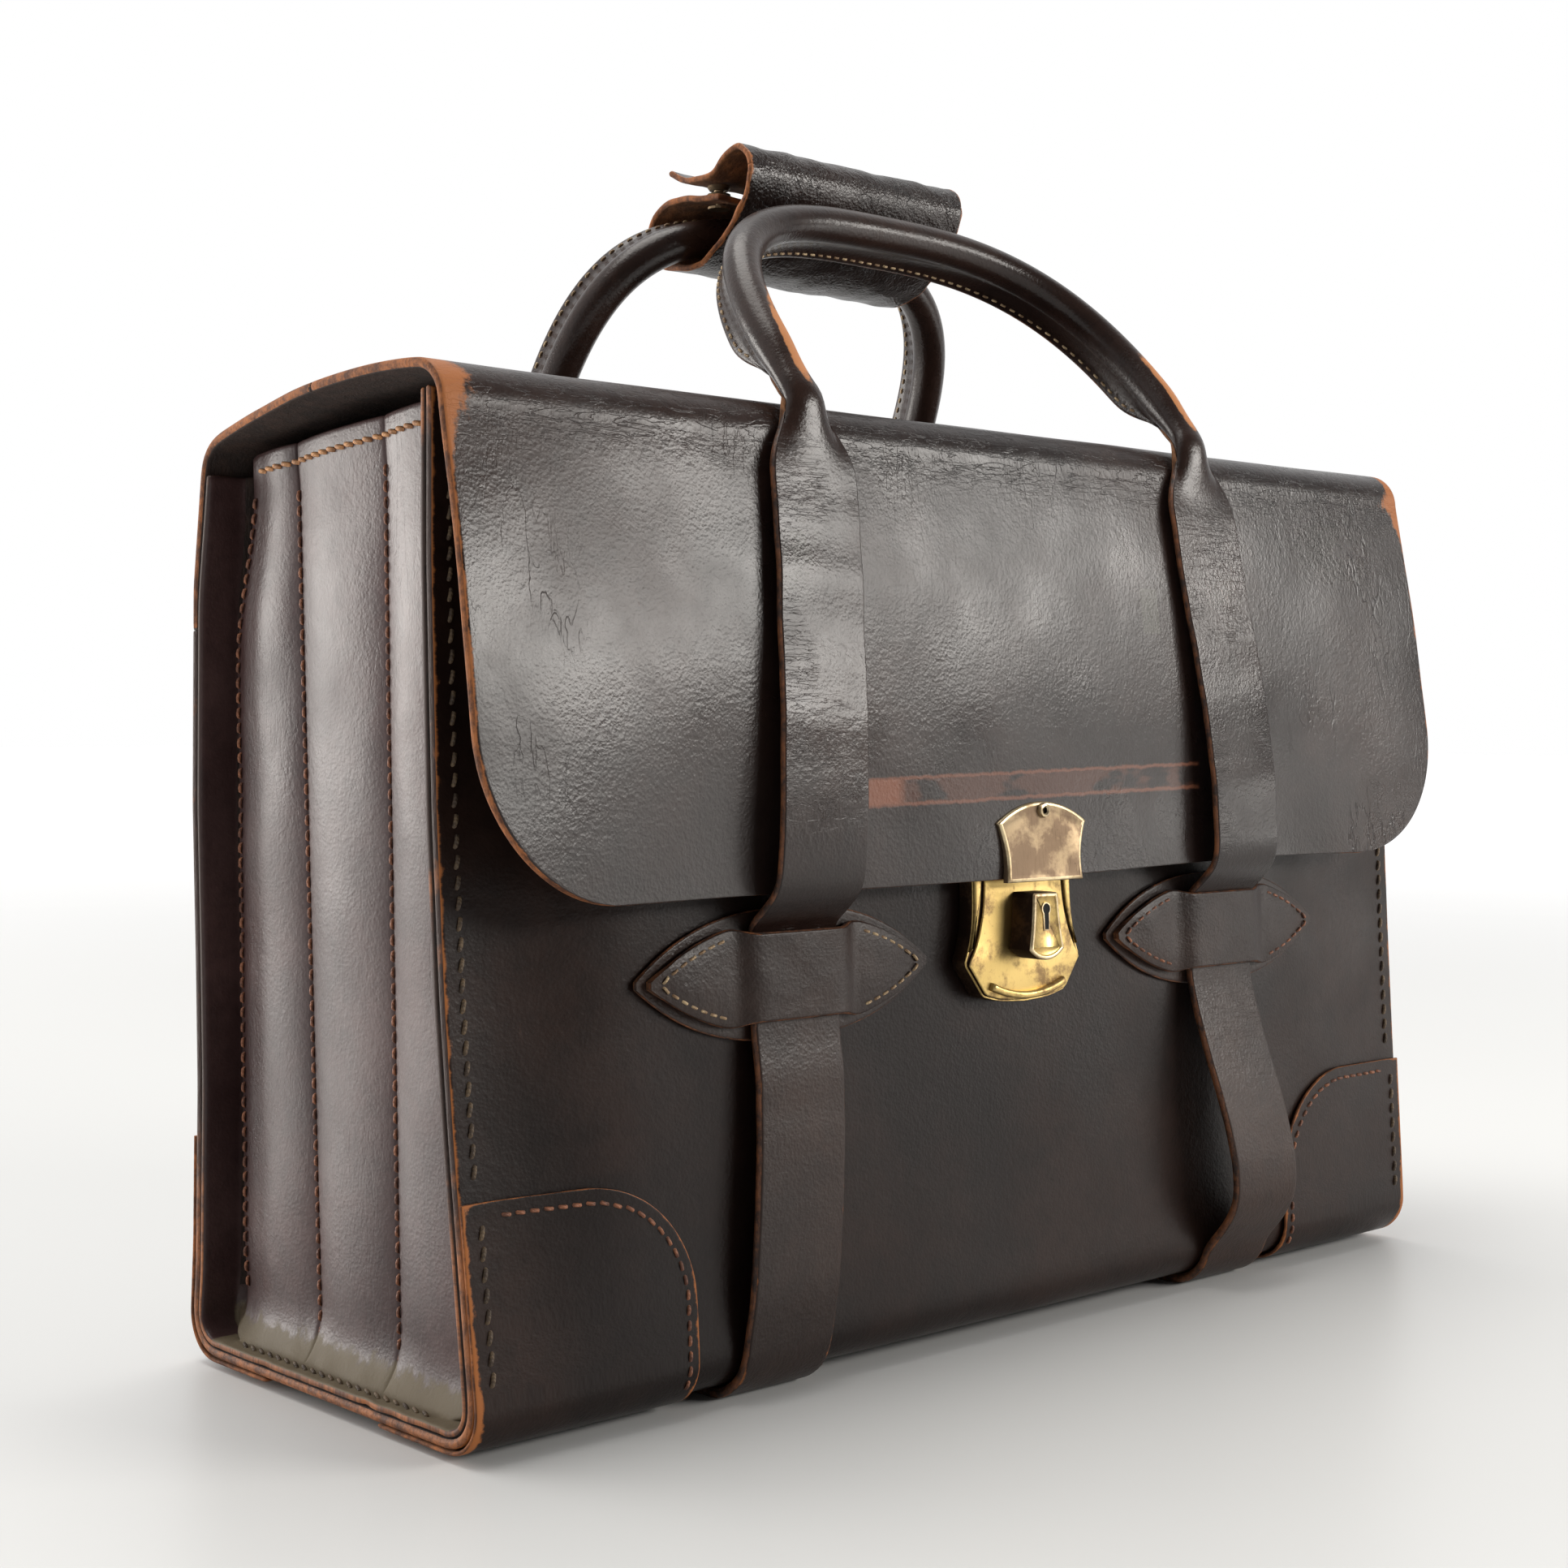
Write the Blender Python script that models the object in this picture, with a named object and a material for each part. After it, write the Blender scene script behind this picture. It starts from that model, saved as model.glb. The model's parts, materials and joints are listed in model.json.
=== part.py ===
"""Leather doctor bag: soft box body, folded flap, two rolled handles, buckle-less straps, slide lock.

Frame: +X along the bag's length, -Y out of its front, +Z up.  The origin is at the middle of the
bag's footprint, on the surface that it stands on.  Sizes are in metres.
"""
import math

import bmesh
import bpy
from mathutils import Matrix, Vector

# ---------------------------------------------------------------- driving dimensions
GAP = 0.0003                 # clearance between pieces that touch
WIDTH = 0.457                # body, end to end
DEPTH = 0.163                # body at the bottom, front to back
FRONT_LEAN = 0.053           # how far the front panel leans in, for each metre of height
BACK_LEAN = 0.040
LEATHER = 0.003              # body leather
FOLD_RADIUS = 0.014          # outer radius of the two bottom folds
PANEL_TOP = 0.294            # top edge of the front panel
BACK_TOP = 0.2855            # where the back panel turns into the flap

STRAP_THICK = 0.003
STRAP_WIDTH = 0.037
STRAP_X = 0.107              # strap centre at the keepers
BODY_BOTTOM = STRAP_THICK + 2 * GAP

GUSSET_INSET = 0.0135        # how far the gusset panel sits inside the wrap's end
GUSSET_THICK = 0.0025
GUSSET_TOP = 0.285

DIVIDER_THICK = 0.002
DIVIDER_TOP = 0.270
FRONT_DIVIDER_Y = (-0.019, -0.014)   # at its foot, at its top
REAR_DIVIDER_Y = (0.031, 0.038)

PATCH_WIDTH = 0.081
PATCH_TOP = 0.0735
PATCH_THICK = 0.0013
PATCH_CORNER = 0.040
PATCH_UNDER = 0.036          # how far a patch reaches under the bottom

KEEPER_Z = 0.1305
KEEPER_HALF_LENGTH = 0.058
KEEPER_HALF_HEIGHT = 0.018
KEEPER_BAND_HALF = (0.0205, 0.014)   # half length and half height of the raised loop
KEEPER_THICK = 0.0025
PAD_THICK = 0.0015
PAD_MARGIN = 0.0035

FLAP_HALF_WIDTH = 0.2335
FLAP_LOW = 0.156             # lower edge
FLAP_PROUD = 0.011           # outer face off the front panel at the lower edge
FLAP_CORNER = 0.050
FOLD_CENTRE = (-0.058, 0.296)        # flap's front fold, (y, z)
FLAP_FOLD_RADIUS = 0.0125
FOLD_RELIEF = 0.0064         # slant of the lid's front edge, so that the fold can close

HANDLE_HINGE = {-1: (-0.0845, 0.152), 1: (0.0815, 0.152)}
NECK = {-1: (-0.0712, 0.3100), 1: (0.080, 0.292)}
NECK_X = {-1: 0.097, 1: 0.090}
ARCH = {-1: (0.098, 0.0960, 2.9, 41.3), 1: (0.093, 0.102, 3.3, 26.0)}   # a, b, power, tilt
ROLL_RADIUS = 0.0054         # middle of the rolled leather
ROLL_LEATHER = 0.0022
FLANGE = 0.0085              # stitched lip behind the roll
CORE_RADIUS = 0.0031

WRAP_HALF = 0.054
WRAP_THICK = 0.0022
SNAP_X = 0.044
SNAP_Y = 0.031
CREST = (0.0123, 0.4085)
CREST_GAP = 0.0007           # from the crest to the sleeve and to the leaf

LOCK_TOP = 0.158
CASE_DEPTH = 0.0075
CASE_WALL = 0.0012
SCREWS = ((-0.018, 0.121), (0.018, 0.121), (-0.018, 0.150), (0.018, 0.150))
SCREW_RADIUS = 0.0012
SLIDE_TRAVEL = 0.004
BLOCK_DEPTH = 0.0097
KEY_Z = 0.1415
KEY_RADIUS = 0.0040
RIVET_Z = 0.1765


# ---------------------------------------------------------------- scene and materials
for old in list(bpy.data.objects):
    bpy.data.objects.remove(old, do_unlink=True)


def material(name, colour, roughness, metallic=0.0):
    mat = bpy.data.materials.new(name)
    mat.use_nodes = True
    shader = mat.node_tree.nodes["Principled BSDF"]
    shader.inputs["Base Color"].default_value = (*colour, 1.0)
    shader.inputs["Roughness"].default_value = roughness
    shader.inputs["Metallic"].default_value = metallic
    mat.diffuse_color = (*colour, 1.0)
    return mat


BODY_LEATHER = material("body_leather", (0.045, 0.028, 0.022), 0.42)
GUSSET_LEATHER = material("gusset_leather", (0.110, 0.072, 0.062), 0.50)
STRAP_LEATHER = material("strap_leather", (0.060, 0.034, 0.026), 0.40)
LINING_LEATHER = material("lining_leather", (0.170, 0.095, 0.050), 0.70)
ROPE = material("handle_rope", (0.420, 0.330, 0.210), 0.90)
BRASS = material("brass", (0.700, 0.520, 0.210), 0.32, 1.0)
NICKEL_BRASS = material("nickel_brass", (0.420, 0.340, 0.240), 0.36, 1.0)
STEEL = material("steel", (0.480, 0.460, 0.430), 0.40, 1.0)


# ---------------------------------------------------------------- mesh helpers
def place(name, bm, mat, smooth=False):
    """Turn a bmesh into a linked object with outward faces."""
    bmesh.ops.recalc_face_normals(bm, faces=bm.faces)
    mesh = bpy.data.meshes.new(name)
    bm.to_mesh(mesh)
    bm.free()
    obj = bpy.data.objects.new(name, mesh)
    bpy.context.scene.collection.objects.link(obj)
    mesh.materials.append(mat)
    if smooth:
        mesh.shade_smooth()
        mesh.set_sharp_from_angle(angle=math.radians(40))
    return obj


def loft(name, sections, mat, smooth=False):
    """A closed body through a row of closed sections with the same number of points."""
    bm = bmesh.new()
    rings = [[bm.verts.new(point) for point in section] for section in sections]
    count = len(rings[0])
    for first, second in zip(rings, rings[1:]):
        for i in range(count):
            j = (i + 1) % count
            bm.faces.new((first[i], first[j], second[j], second[i]))
    bm.faces.new(rings[0])
    bm.faces.new(rings[-1])
    return place(name, bm, mat, smooth)


def prism(name, outline, near, far, mat):
    """An outline of (u, v) points pushed from near to far; both map (u, v) to a point."""
    return loft(name, [[near(u, v) for u, v in outline], [far(u, v) for u, v in outline]], mat)


def along_x(name, outline, x0, x1, mat):
    """An outline of (y, z) points pushed along X."""
    return prism(name, outline, lambda y, z: (x0, y, z), lambda y, z: (x1, y, z), mat)


def turned(name, profile, centre, axis, mat, sides=12):
    """A turned piece: profile of (radius, height) points from the axis back to the axis."""
    turn = Vector((0, 0, 1)).rotation_difference(Vector(axis)).to_matrix()
    bm = bmesh.new()
    rings = []
    for radius, height in profile:
        steps = 1 if radius == 0 else sides
        rings.append([
            bm.verts.new(Vector(centre) + turn @ Vector((
                radius * math.cos(2 * math.pi * k / sides),
                radius * math.sin(2 * math.pi * k / sides), height)))
            for k in range(steps)])
    for first, second in zip(rings, rings[1:]):
        for k in range(sides):
            corners = [first[k % len(first)], first[(k + 1) % len(first)],
                       second[(k + 1) % len(second)], second[k % len(second)]]
            bm.faces.new(list(dict.fromkeys(corners)))
    return place(name, bm, mat, smooth=True)


def ring_turned(name, profile, centre, mat, sides=12):
    """A turned ring about +Z: a closed profile of (radius, height) points off the axis."""
    sections = []
    for radius, height in profile:
        sections.append([(centre[0] + radius * math.cos(2 * math.pi * k / sides),
                          centre[1] + radius * math.sin(2 * math.pi * k / sides),
                          centre[2] + height) for k in range(sides)])
    bm = bmesh.new()
    rings = [[bm.verts.new(point) for point in section] for section in sections]
    for first, second in zip(rings, rings[1:] + rings[:1]):
        for i in range(sides):
            j = (i + 1) % sides
            bm.faces.new((first[i], first[j], second[j], second[i]))
    return place(name, bm, mat, smooth=True)


def combine(obj, tool, operation="DIFFERENCE"):
    """Cut or join obj with tool, which stays as a hidden guide."""
    modifier = obj.modifiers.new(operation.lower(), "BOOLEAN")
    modifier.operation = operation
    modifier.solver = "EXACT"
    modifier.object = tool
    tool.hide_render = True
    tool.display_type = "WIRE"


def sheet(path, thickness, inward=1):
    """The outline of a sheet: an outer (y, z) path and its offset to one side."""
    inner = []
    for i, point in enumerate(path):
        before = Vector(path[max(i - 1, 0)])
        after = Vector(path[min(i + 1, len(path) - 1)])
        along = (after - before).normalized()
        inner.append((point[0] - inward * along.y * thickness,
                      point[1] + inward * along.x * thickness))
    return list(path) + inner[::-1]


def arc(centre, radius, start, end, steps):
    """Points (u, v) on a circle, from one angle to another in degrees."""
    angles = [math.radians(start + (end - start) * i / steps) for i in range(steps + 1)]
    return [(centre[0] + radius * math.cos(a), centre[1] + radius * math.sin(a)) for a in angles]


def smooth_curve(points, steps):
    """A Catmull-Rom curve through the points, with the same number of steps in each span."""
    knots = [Vector(p) for p in points]
    knots = [2 * knots[0] - knots[1]] + knots + [2 * knots[-1] - knots[-2]]
    out = []
    for a, b, c, d in zip(knots, knots[1:], knots[2:], knots[3:]):
        for i in range(steps):
            t = i / steps
            out.append(0.5 * (2 * b + (c - a) * t + (2 * a - 5 * b + 4 * c - d) * t * t
                              + (3 * b - a - 3 * c + d) * t ** 3))
    return out + [knots[-2]]


def even_points(points, count):
    """The same route with count points at equal spacing."""
    lengths = [0.0]
    for a, b in zip(points, points[1:]):
        lengths.append(lengths[-1] + (b - a).length)
    out = []
    k = 0
    for i in range(count):
        target = lengths[-1] * i / (count - 1)
        while k < len(points) - 2 and lengths[k + 1] < target:
            k += 1
        share = (target - lengths[k]) / (lengths[k + 1] - lengths[k])
        out.append(points[k].lerp(points[k + 1], share))
    return out


def ease(value):
    value = min(max(value, 0.0), 1.0)
    return value * value * (3 - 2 * value)


def wall(side, z, offset=0.0):
    """Y of a point that stands offset outside the front (-1) or back (+1) panel at height z."""
    lean = FRONT_LEAN if side < 0 else BACK_LEAN
    return side * (DEPTH / 2 - lean * z + offset)


def flap_face(z):
    """Y of the hanging flap's outer face at height z."""
    low = wall(-1, FLAP_LOW, FLAP_PROUD)
    top = FOLD_CENTRE[0] - FLAP_FOLD_RADIUS
    share = (z - FLAP_LOW) / (FOLD_CENTRE[1] - FLAP_LOW)
    return low + (top - low) * share


# ---------------------------------------------------------------- body
def half_wrap(side, offset, top, reach, steps=6):
    """(y, z) points down a panel, round its bottom fold and in under the body."""
    fold_z = BODY_BOTTOM + FOLD_RADIUS
    fold_y = wall(side, fold_z) - side * FOLD_RADIUS
    start, end = (180, 270) if side < 0 else (360, 270)
    down = [(wall(side, top, offset), top)]
    bend = arc((fold_y, fold_z), FOLD_RADIUS + offset, start, end, steps)
    return down + bend + [(fold_y - side * reach, BODY_BOTTOM - offset)]


def body_path(offset, front_top, back_top):
    """(y, z) points of the whole U: front panel, bottom and back panel."""
    front = half_wrap(-1, offset, front_top, 0.02)[:-1]
    back = half_wrap(1, offset, back_top, 0.02)[:-1]
    return front + back[::-1]


def make_body_wrap():
    """Front panel, bottom and back panel: one hide."""
    outer = body_path(0.0, PANEL_TOP, BACK_TOP)
    inner = body_path(-LEATHER, PANEL_TOP, BACK_TOP)
    obj = along_x("body_wrap", outer + inner[::-1], -WIDTH / 2, WIDTH / 2, BODY_LEATHER)
    for number, (x, z) in enumerate(SCREWS):
        centre = (x, wall(-1, z, 0.002), z)
        profile = [(0, 0), (SCREW_RADIUS + GAP, 0), (SCREW_RADIUS + GAP, 0.008), (0, 0.008)]
        combine(obj, turned(f"cut_wrap_{number}", profile, centre, (0, 1, 0), STEEL))
    return obj


def make_gusset(side, name):
    """An end panel with a lip turned outward along the front, bottom and back."""
    outer = body_path(-LEATHER - GAP, GUSSET_TOP, GUSSET_TOP)
    inner = body_path(-LEATHER - GAP - GUSSET_THICK, GUSSET_TOP, GUSSET_TOP)
    back = side * (WIDTH / 2 - GUSSET_INSET - GUSSET_THICK)
    face = side * (WIDTH / 2 - GUSSET_INSET)
    lip = side * (WIDTH / 2 - 0.0006)
    bm = bmesh.new()
    outer_back = [bm.verts.new((back, y, z)) for y, z in outer]
    outer_lip = [bm.verts.new((lip, y, z)) for y, z in outer]
    inner_lip = [bm.verts.new((lip, y, z)) for y, z in inner]
    inner_face = [bm.verts.new((face, y, z)) for y, z in inner]
    rows = (outer_back, outer_lip, inner_lip, inner_face)
    for first, second in zip(rows, rows[1:]):
        for i in range(len(outer) - 1):
            bm.faces.new((first[i], first[i + 1], second[i + 1], second[i]))
    bm.faces.new(outer_back)
    bm.faces.new(inner_face)
    bm.faces.new([row[0] for row in rows] + [row[-1] for row in reversed(rows)])
    return place(name, bm, GUSSET_LEATHER)


def make_divider(name, foot_top):
    """A leather divider between two compartments, from gusset to gusset."""
    half = WIDTH / 2 - GUSSET_INSET - GUSSET_THICK - 2 * GAP
    low = BODY_BOTTOM + LEATHER + GAP
    foot, top = foot_top
    outline = [(foot, low), (foot + DIVIDER_THICK, low),
               (top + DIVIDER_THICK, DIVIDER_TOP), (top, DIVIDER_TOP)]
    return along_x(name, outline, -half, half, LINING_LEATHER)


def corner_cut(distance, radius):
    """How far a rounded corner pulls an edge in, at a distance from the end of the edge."""
    if distance >= radius:
        return 0.0
    return radius - math.sqrt(radius ** 2 - (radius - distance) ** 2)


def make_patch(side, end, name):
    """A corner patch that wraps a bottom fold at one end of the body."""
    rows = []
    near = half_wrap(side, GAP, PATCH_TOP, PATCH_UNDER)
    far = half_wrap(side, GAP + PATCH_THICK, PATCH_TOP, PATCH_UNDER)
    heights = [PATCH_TOP - PATCH_CORNER * (1 - math.cos(math.radians(a))) for a in range(0, 91, 15)]
    near = [(wall(side, z, GAP), z) for z in heights] + near[1:]
    far = [(wall(side, z, GAP + PATCH_THICK), z) for z in heights] + far[1:]
    outer_x = end * (WIDTH / 2 - 0.0005)
    for (near_y, near_z), (far_y, far_z) in zip(near, far):
        pulled = corner_cut(PATCH_TOP - near_z, PATCH_CORNER)
        inner_x = end * (WIDTH / 2 - PATCH_WIDTH + pulled)
        rows.append([(outer_x, near_y, near_z), (outer_x, far_y, far_z),
                     (inner_x, far_y, far_z), (inner_x, near_y, near_z)])
    return loft(name, rows, BODY_LEATHER)


# ---------------------------------------------------------------- straps and keepers
def leaf_half_height(distance, half_length, half_height):
    """Half height of a pointed leaf at a distance from its middle."""
    share = min(abs(distance) / half_length, 1.0)
    return 0.0012 + (half_height - 0.0012) * (1 - share ** 2.6) ** 0.95


def leaf_stations(half_length):
    outer = [half_length * s for s in (1.0, 0.96, 0.88, 0.77, 0.64, 0.52)]
    band = KEEPER_BAND_HALF[0]
    return outer + [band + 0.0055, band + 0.0005]


def make_pad(side, x_centre, name):
    """The flat leather pad under a keeper."""
    half_length = KEEPER_HALF_LENGTH + PAD_MARGIN
    half_height = KEEPER_HALF_HEIGHT + PAD_MARGIN * 0.7
    steps = leaf_stations(half_length)
    rows = []
    for dx in [-s for s in steps] + steps[::-1]:
        h = leaf_half_height(dx, half_length, half_height)
        low, high = KEEPER_Z - h, KEEPER_Z + h
        rows.append([(x_centre + dx, wall(side, z, n), z)
                     for z, n in ((low, GAP), (low, GAP + PAD_THICK),
                                  (high, GAP + PAD_THICK), (high, GAP))])
    return loft(name, rows, STRAP_LEATHER)


def make_keeper(side, x_centre, name):
    """A leaf-shaped keeper: flat sewn lobes and a raised loop over the strap."""
    base = 2 * GAP + PAD_THICK
    raised = base + STRAP_THICK + 2 * GAP
    steps = leaf_stations(KEEPER_HALF_LENGTH)
    rows = []
    for dx in [-s for s in steps] + steps[::-1]:
        on_band = abs(dx) <= KEEPER_BAND_HALF[0] + 0.001
        h = KEEPER_BAND_HALF[1] if on_band else leaf_half_height(
            dx, KEEPER_HALF_LENGTH, KEEPER_HALF_HEIGHT)
        lift = raised if on_band else base
        low, high = KEEPER_Z - h, KEEPER_Z + h
        rows.append([(x_centre + dx, wall(side, z, n), z)
                     for z, n in ((low, lift), (low, lift + KEEPER_THICK),
                                  (high, lift + KEEPER_THICK), (high, lift))])
    return loft(name, rows, STRAP_LEATHER)


def strap_half(side, bow):
    """(y, z) points of the strap's middle from just under the handle's bend to the floor."""
    in_keeper = GAP * 2 + PAD_THICK + GAP + STRAP_THICK / 2
    hinge_y, hinge_z = HANDLE_HINGE[side]
    low_z = KEEPER_Z + KEEPER_BAND_HALF[1] + 0.0015
    low_y = wall(side, low_z, in_keeper)
    along = Vector((low_y - hinge_y, low_z - hinge_z)).normalized()
    end = (hinge_y + along.x * 0.0035, hinge_z + along.y * 0.0035)
    straight = [(wall(side, KEEPER_Z + rise, in_keeper), KEEPER_Z + rise)
                for rise in (KEEPER_BAND_HALF[1], 0.0, -KEEPER_BAND_HALF[1] - 0.0015)]
    fold_z = BODY_BOTTOM + FOLD_RADIUS
    fold_y = abs(wall(side, fold_z)) - FOLD_RADIUS
    round_fold = arc((fold_y, fold_z), FOLD_RADIUS + 2 * GAP + STRAP_THICK / 2, -8, -90, 4)
    hanging = [(side * (0.4 * bow + 0.6 * abs(wall(side, 0.09, in_keeper))), 0.092),
               (side * bow, 0.060), (side * (bow - 0.001), 0.038)]
    hanging += [(side * y, z) for y, z in round_fold]
    hanging += [(side * 0.03, STRAP_THICK / 2), (0.0, STRAP_THICK / 2)]
    return [end] + straight + hanging


def make_lower_strap(x_centre, bow, name):
    """A strap from the front keeper, under the bag, to the rear keeper."""
    front = strap_half(-1, bow)
    back = strap_half(1, bow)
    path = smooth_curve([(y, z, 0) for y, z in front + back[::-1][1:]], 3)
    rows = []
    for i, point in enumerate(path):
        along = (path[min(i + 1, len(path) - 1)] - path[max(i - 1, 0)]).normalized()
        out = Vector((-along.y, along.x)) * STRAP_THICK / 2
        y, z = point.x, max(point.y, STRAP_THICK / 2)
        if abs(y) < DEPTH / 2 - FOLD_RADIUS - 0.004:
            out = Vector((0, STRAP_THICK / 2))
        rows.append([(x_centre - STRAP_WIDTH / 2, y + out.x, z + out.y),
                     (x_centre + STRAP_WIDTH / 2, y + out.x, z + out.y),
                     (x_centre + STRAP_WIDTH / 2, y - out.x, max(z - out.y, 0.0)),
                     (x_centre - STRAP_WIDTH / 2, y - out.x, max(z - out.y, 0.0))])
    return loft(name, rows, STRAP_LEATHER)


# ---------------------------------------------------------------- flap
def make_flap_top():
    """The flap's top, from the back edge of the body to the front fold."""
    outer = [(0.0701, 0.2865), (0.0688, 0.2915), (0.0640, 0.2960), (0.0560, 0.2985),
             (0.0335, 0.3020), (0.0100, 0.3058), (-0.0110, 0.3077), (-0.0350, 0.3087),
             (FOLD_CENTRE[0] + GAP, FOLD_CENTRE[1] + FLAP_FOLD_RADIUS)]
    outline = sheet(outer, LEATHER)
    front_inner = len(outer)
    outline[front_inner] = (FOLD_CENTRE[0] + FOLD_RELIEF, outline[front_inner][1])
    return along_x("flap_top", outline, -FLAP_HALF_WIDTH, FLAP_HALF_WIDTH, BODY_LEATHER)


def make_flap_front():
    """The flap's front fold and hanging part, with two round lower corners."""
    fold = arc(FOLD_CENTRE, FLAP_FOLD_RADIUS, 90, 175, 5)
    heights = [0.25, 0.215] + [FLAP_LOW + FLAP_CORNER * (1 - math.sin(math.radians(a)))
                               for a in range(0, 91, 15)]
    path = fold + [(flap_face(z), z) for z in heights]
    outline = sheet(path, LEATHER)
    inner = outline[:len(path) - 1:-1]
    rows = []
    for (out_y, out_z), (in_y, in_z) in zip(path, inner):
        half = FLAP_HALF_WIDTH - corner_cut(out_z - FLAP_LOW, FLAP_CORNER)
        rows.append([(-half, out_y, out_z), (half, out_y, out_z),
                     (half, in_y, in_z), (-half, in_y, in_z)])
    obj = loft("flap_front", rows, BODY_LEATHER)
    combine(obj, rivet_hole("cut_flap_rivet"))
    return obj


# ---------------------------------------------------------------- handles
def roll_profile(rolled, flange, flat_half, squash):
    """(w, n) points across the leather's middle, morphed from a flat strap to a roll."""
    points = []
    for u, angle in ((-1.0, None), (-0.8, -148), (-0.53, -100), (-0.26, -50), (0.0, 0),
                     (0.26, 50), (0.53, 100), (0.8, 148), (1.0, None)):
        if angle is None:
            root = ROLL_RADIUS * math.cos(math.radians(148))
            spot = Vector((math.copysign(0.0013 + 0.0006 * (1 - rolled), u), root - 0.0012 - flange))
        else:
            turn = math.radians(angle)
            spot = Vector((ROLL_RADIUS * math.sin(turn), ROLL_RADIUS * math.cos(turn)))
        spot.y *= squash
        points.append(Vector((flat_half * u, 0.0)).lerp(spot, rolled))
    return points


def thicken(points, thickness):
    """A closed outline round an open (w, n) line, half the thickness to each side."""
    near, far = [], []
    for i, point in enumerate(points):
        along = (points[min(i + 1, len(points) - 1)] - points[max(i - 1, 0)]).normalized()
        out = Vector((-along.y, along.x)) * thickness / 2
        near.append(point + out)
        far.append(point - out)
    return near + far[::-1]


def strap_route(side):
    """The left strap's middle line, from the handle's bend up to the neck."""
    hinge_y, hinge_z = HANDLE_HINGE[side]
    neck_y, neck_z = NECK[side]
    if side < 0:
        stand_off = ((0.160, 0.0049), (0.178, 0.0070), (0.205, 0.0076), (0.245, 0.0056), (0.275, 0.0036))
        middle = [(flap_face(z) - off - STRAP_THICK / 2, z) for z, off in stand_off]
    else:
        stand_off = ((0.165, 0.0050), (0.205, 0.0068), (0.245, 0.0075), (0.272, 0.0082))
        middle = [(wall(1, z, off + STRAP_THICK / 2), z) for z, off in stand_off]
    route = [(-STRAP_X, hinge_y, hinge_z)]
    for y, z in middle:
        share = ease((z - hinge_z) / (neck_z - hinge_z))
        route.append((-STRAP_X + (STRAP_X - NECK_X[side]) * share, y, z))
    return route + [(-NECK_X[side], neck_y, neck_z)]


def arch_route(side, count=60):
    """The left half of the rolled arch, from the neck to the top of the handle."""
    a, b, power, tilt = ARCH[side]
    lean = math.radians(tilt)
    up = Vector((0, -side * math.sin(lean), math.cos(lean)))
    base = Vector((0, *NECK[side]))
    out = []
    for i in range(count + 1):
        angle = math.pi / 2 * (i / count) ** 1.6
        x = -a * math.cos(angle) ** (2 / power) if angle < math.pi / 2 else 0.0
        rise = b * math.sin(angle) ** (2 / power)
        out.append(Vector((x * NECK_X[side] / a if i == 0 else x, 0, 0)) + base + up * rise)
    return out


def handle_frames(side):
    """Points along the whole handle with the frame and the roll's state at each."""
    strap = smooth_curve(strap_route(side), 12)
    arch = arch_route(side)
    strap_length = sum((b - a).length for a, b in zip(strap, strap[1:]))
    half = even_points(strap + arch[1:], 30)
    lean = math.radians(ARCH[side][3])
    strap_out = Vector((0, -1, 0))
    arch_out = Vector((0, -math.cos(lean), -side * math.sin(lean)))
    spacing = (half[1] - half[0]).length
    frames = []
    for i, point in enumerate(half):
        past_neck = i * spacing - strap_length
        turn = ease((past_neck + 0.030) / 0.050)
        frames.append({
            "point": point,
            "out": strap_out.lerp(arch_out, turn).normalized(),
            "rolled": ease((past_neck + 0.026) / 0.036),
            "flange": FLANGE * ease((past_neck - 0.010) / 0.026),
            "squash": 1.0 - 0.36 * ease((0.024 - past_neck) / 0.016),
        })
    mirrored = [dict(f, point=Vector((-f["point"].x, f["point"].y, f["point"].z)))
                for f in frames[-2::-1]]
    return frames + mirrored


def make_handle(side, name):
    """One piece of leather: two flat straps that narrow and roll round a core into a handle."""
    frames = handle_frames(side)
    sections = []
    for i, frame in enumerate(frames):
        ahead = frames[min(i + 1, len(frames) - 1)]["point"]
        behind = frames[max(i - 1, 0)]["point"]
        along = (ahead - behind).normalized()
        out = (frame["out"] - along * frame["out"].dot(along)).normalized()
        across = along.cross(out)
        thickness = STRAP_THICK + (ROLL_LEATHER - STRAP_THICK) * frame["rolled"]
        profile = roll_profile(frame["rolled"], frame["flange"], STRAP_WIDTH / 2, frame["squash"])
        sections.append([frame["point"] + across * p.x + out * p.y for p in thicken(profile, thickness)])
    return loft(name, sections, STRAP_LEATHER, smooth=True)


def make_core(side, name, sides=8, count=27):
    """The rope filler inside the roll."""
    arch = arch_route(side)
    whole = arch + [Vector((-p.x, p.y, p.z)) for p in arch[-2::-1]]
    route = even_points(whole, count + 4)[2:-2]
    lean = math.radians(ARCH[side][3])
    out = Vector((0, -math.cos(lean), -side * math.sin(lean)))
    sections = []
    for i, point in enumerate(route):
        along = (route[min(i + 1, count - 1)] - route[max(i - 1, 0)]).normalized()
        across = along.cross(out).normalized()
        sections.append([point + (across * math.cos(a) + out * math.sin(a)) * CORE_RADIUS
                         for a in (2 * math.pi * k / sides for k in range(sides))])
    return loft(name, sections, ROPE, smooth=True)


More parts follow.
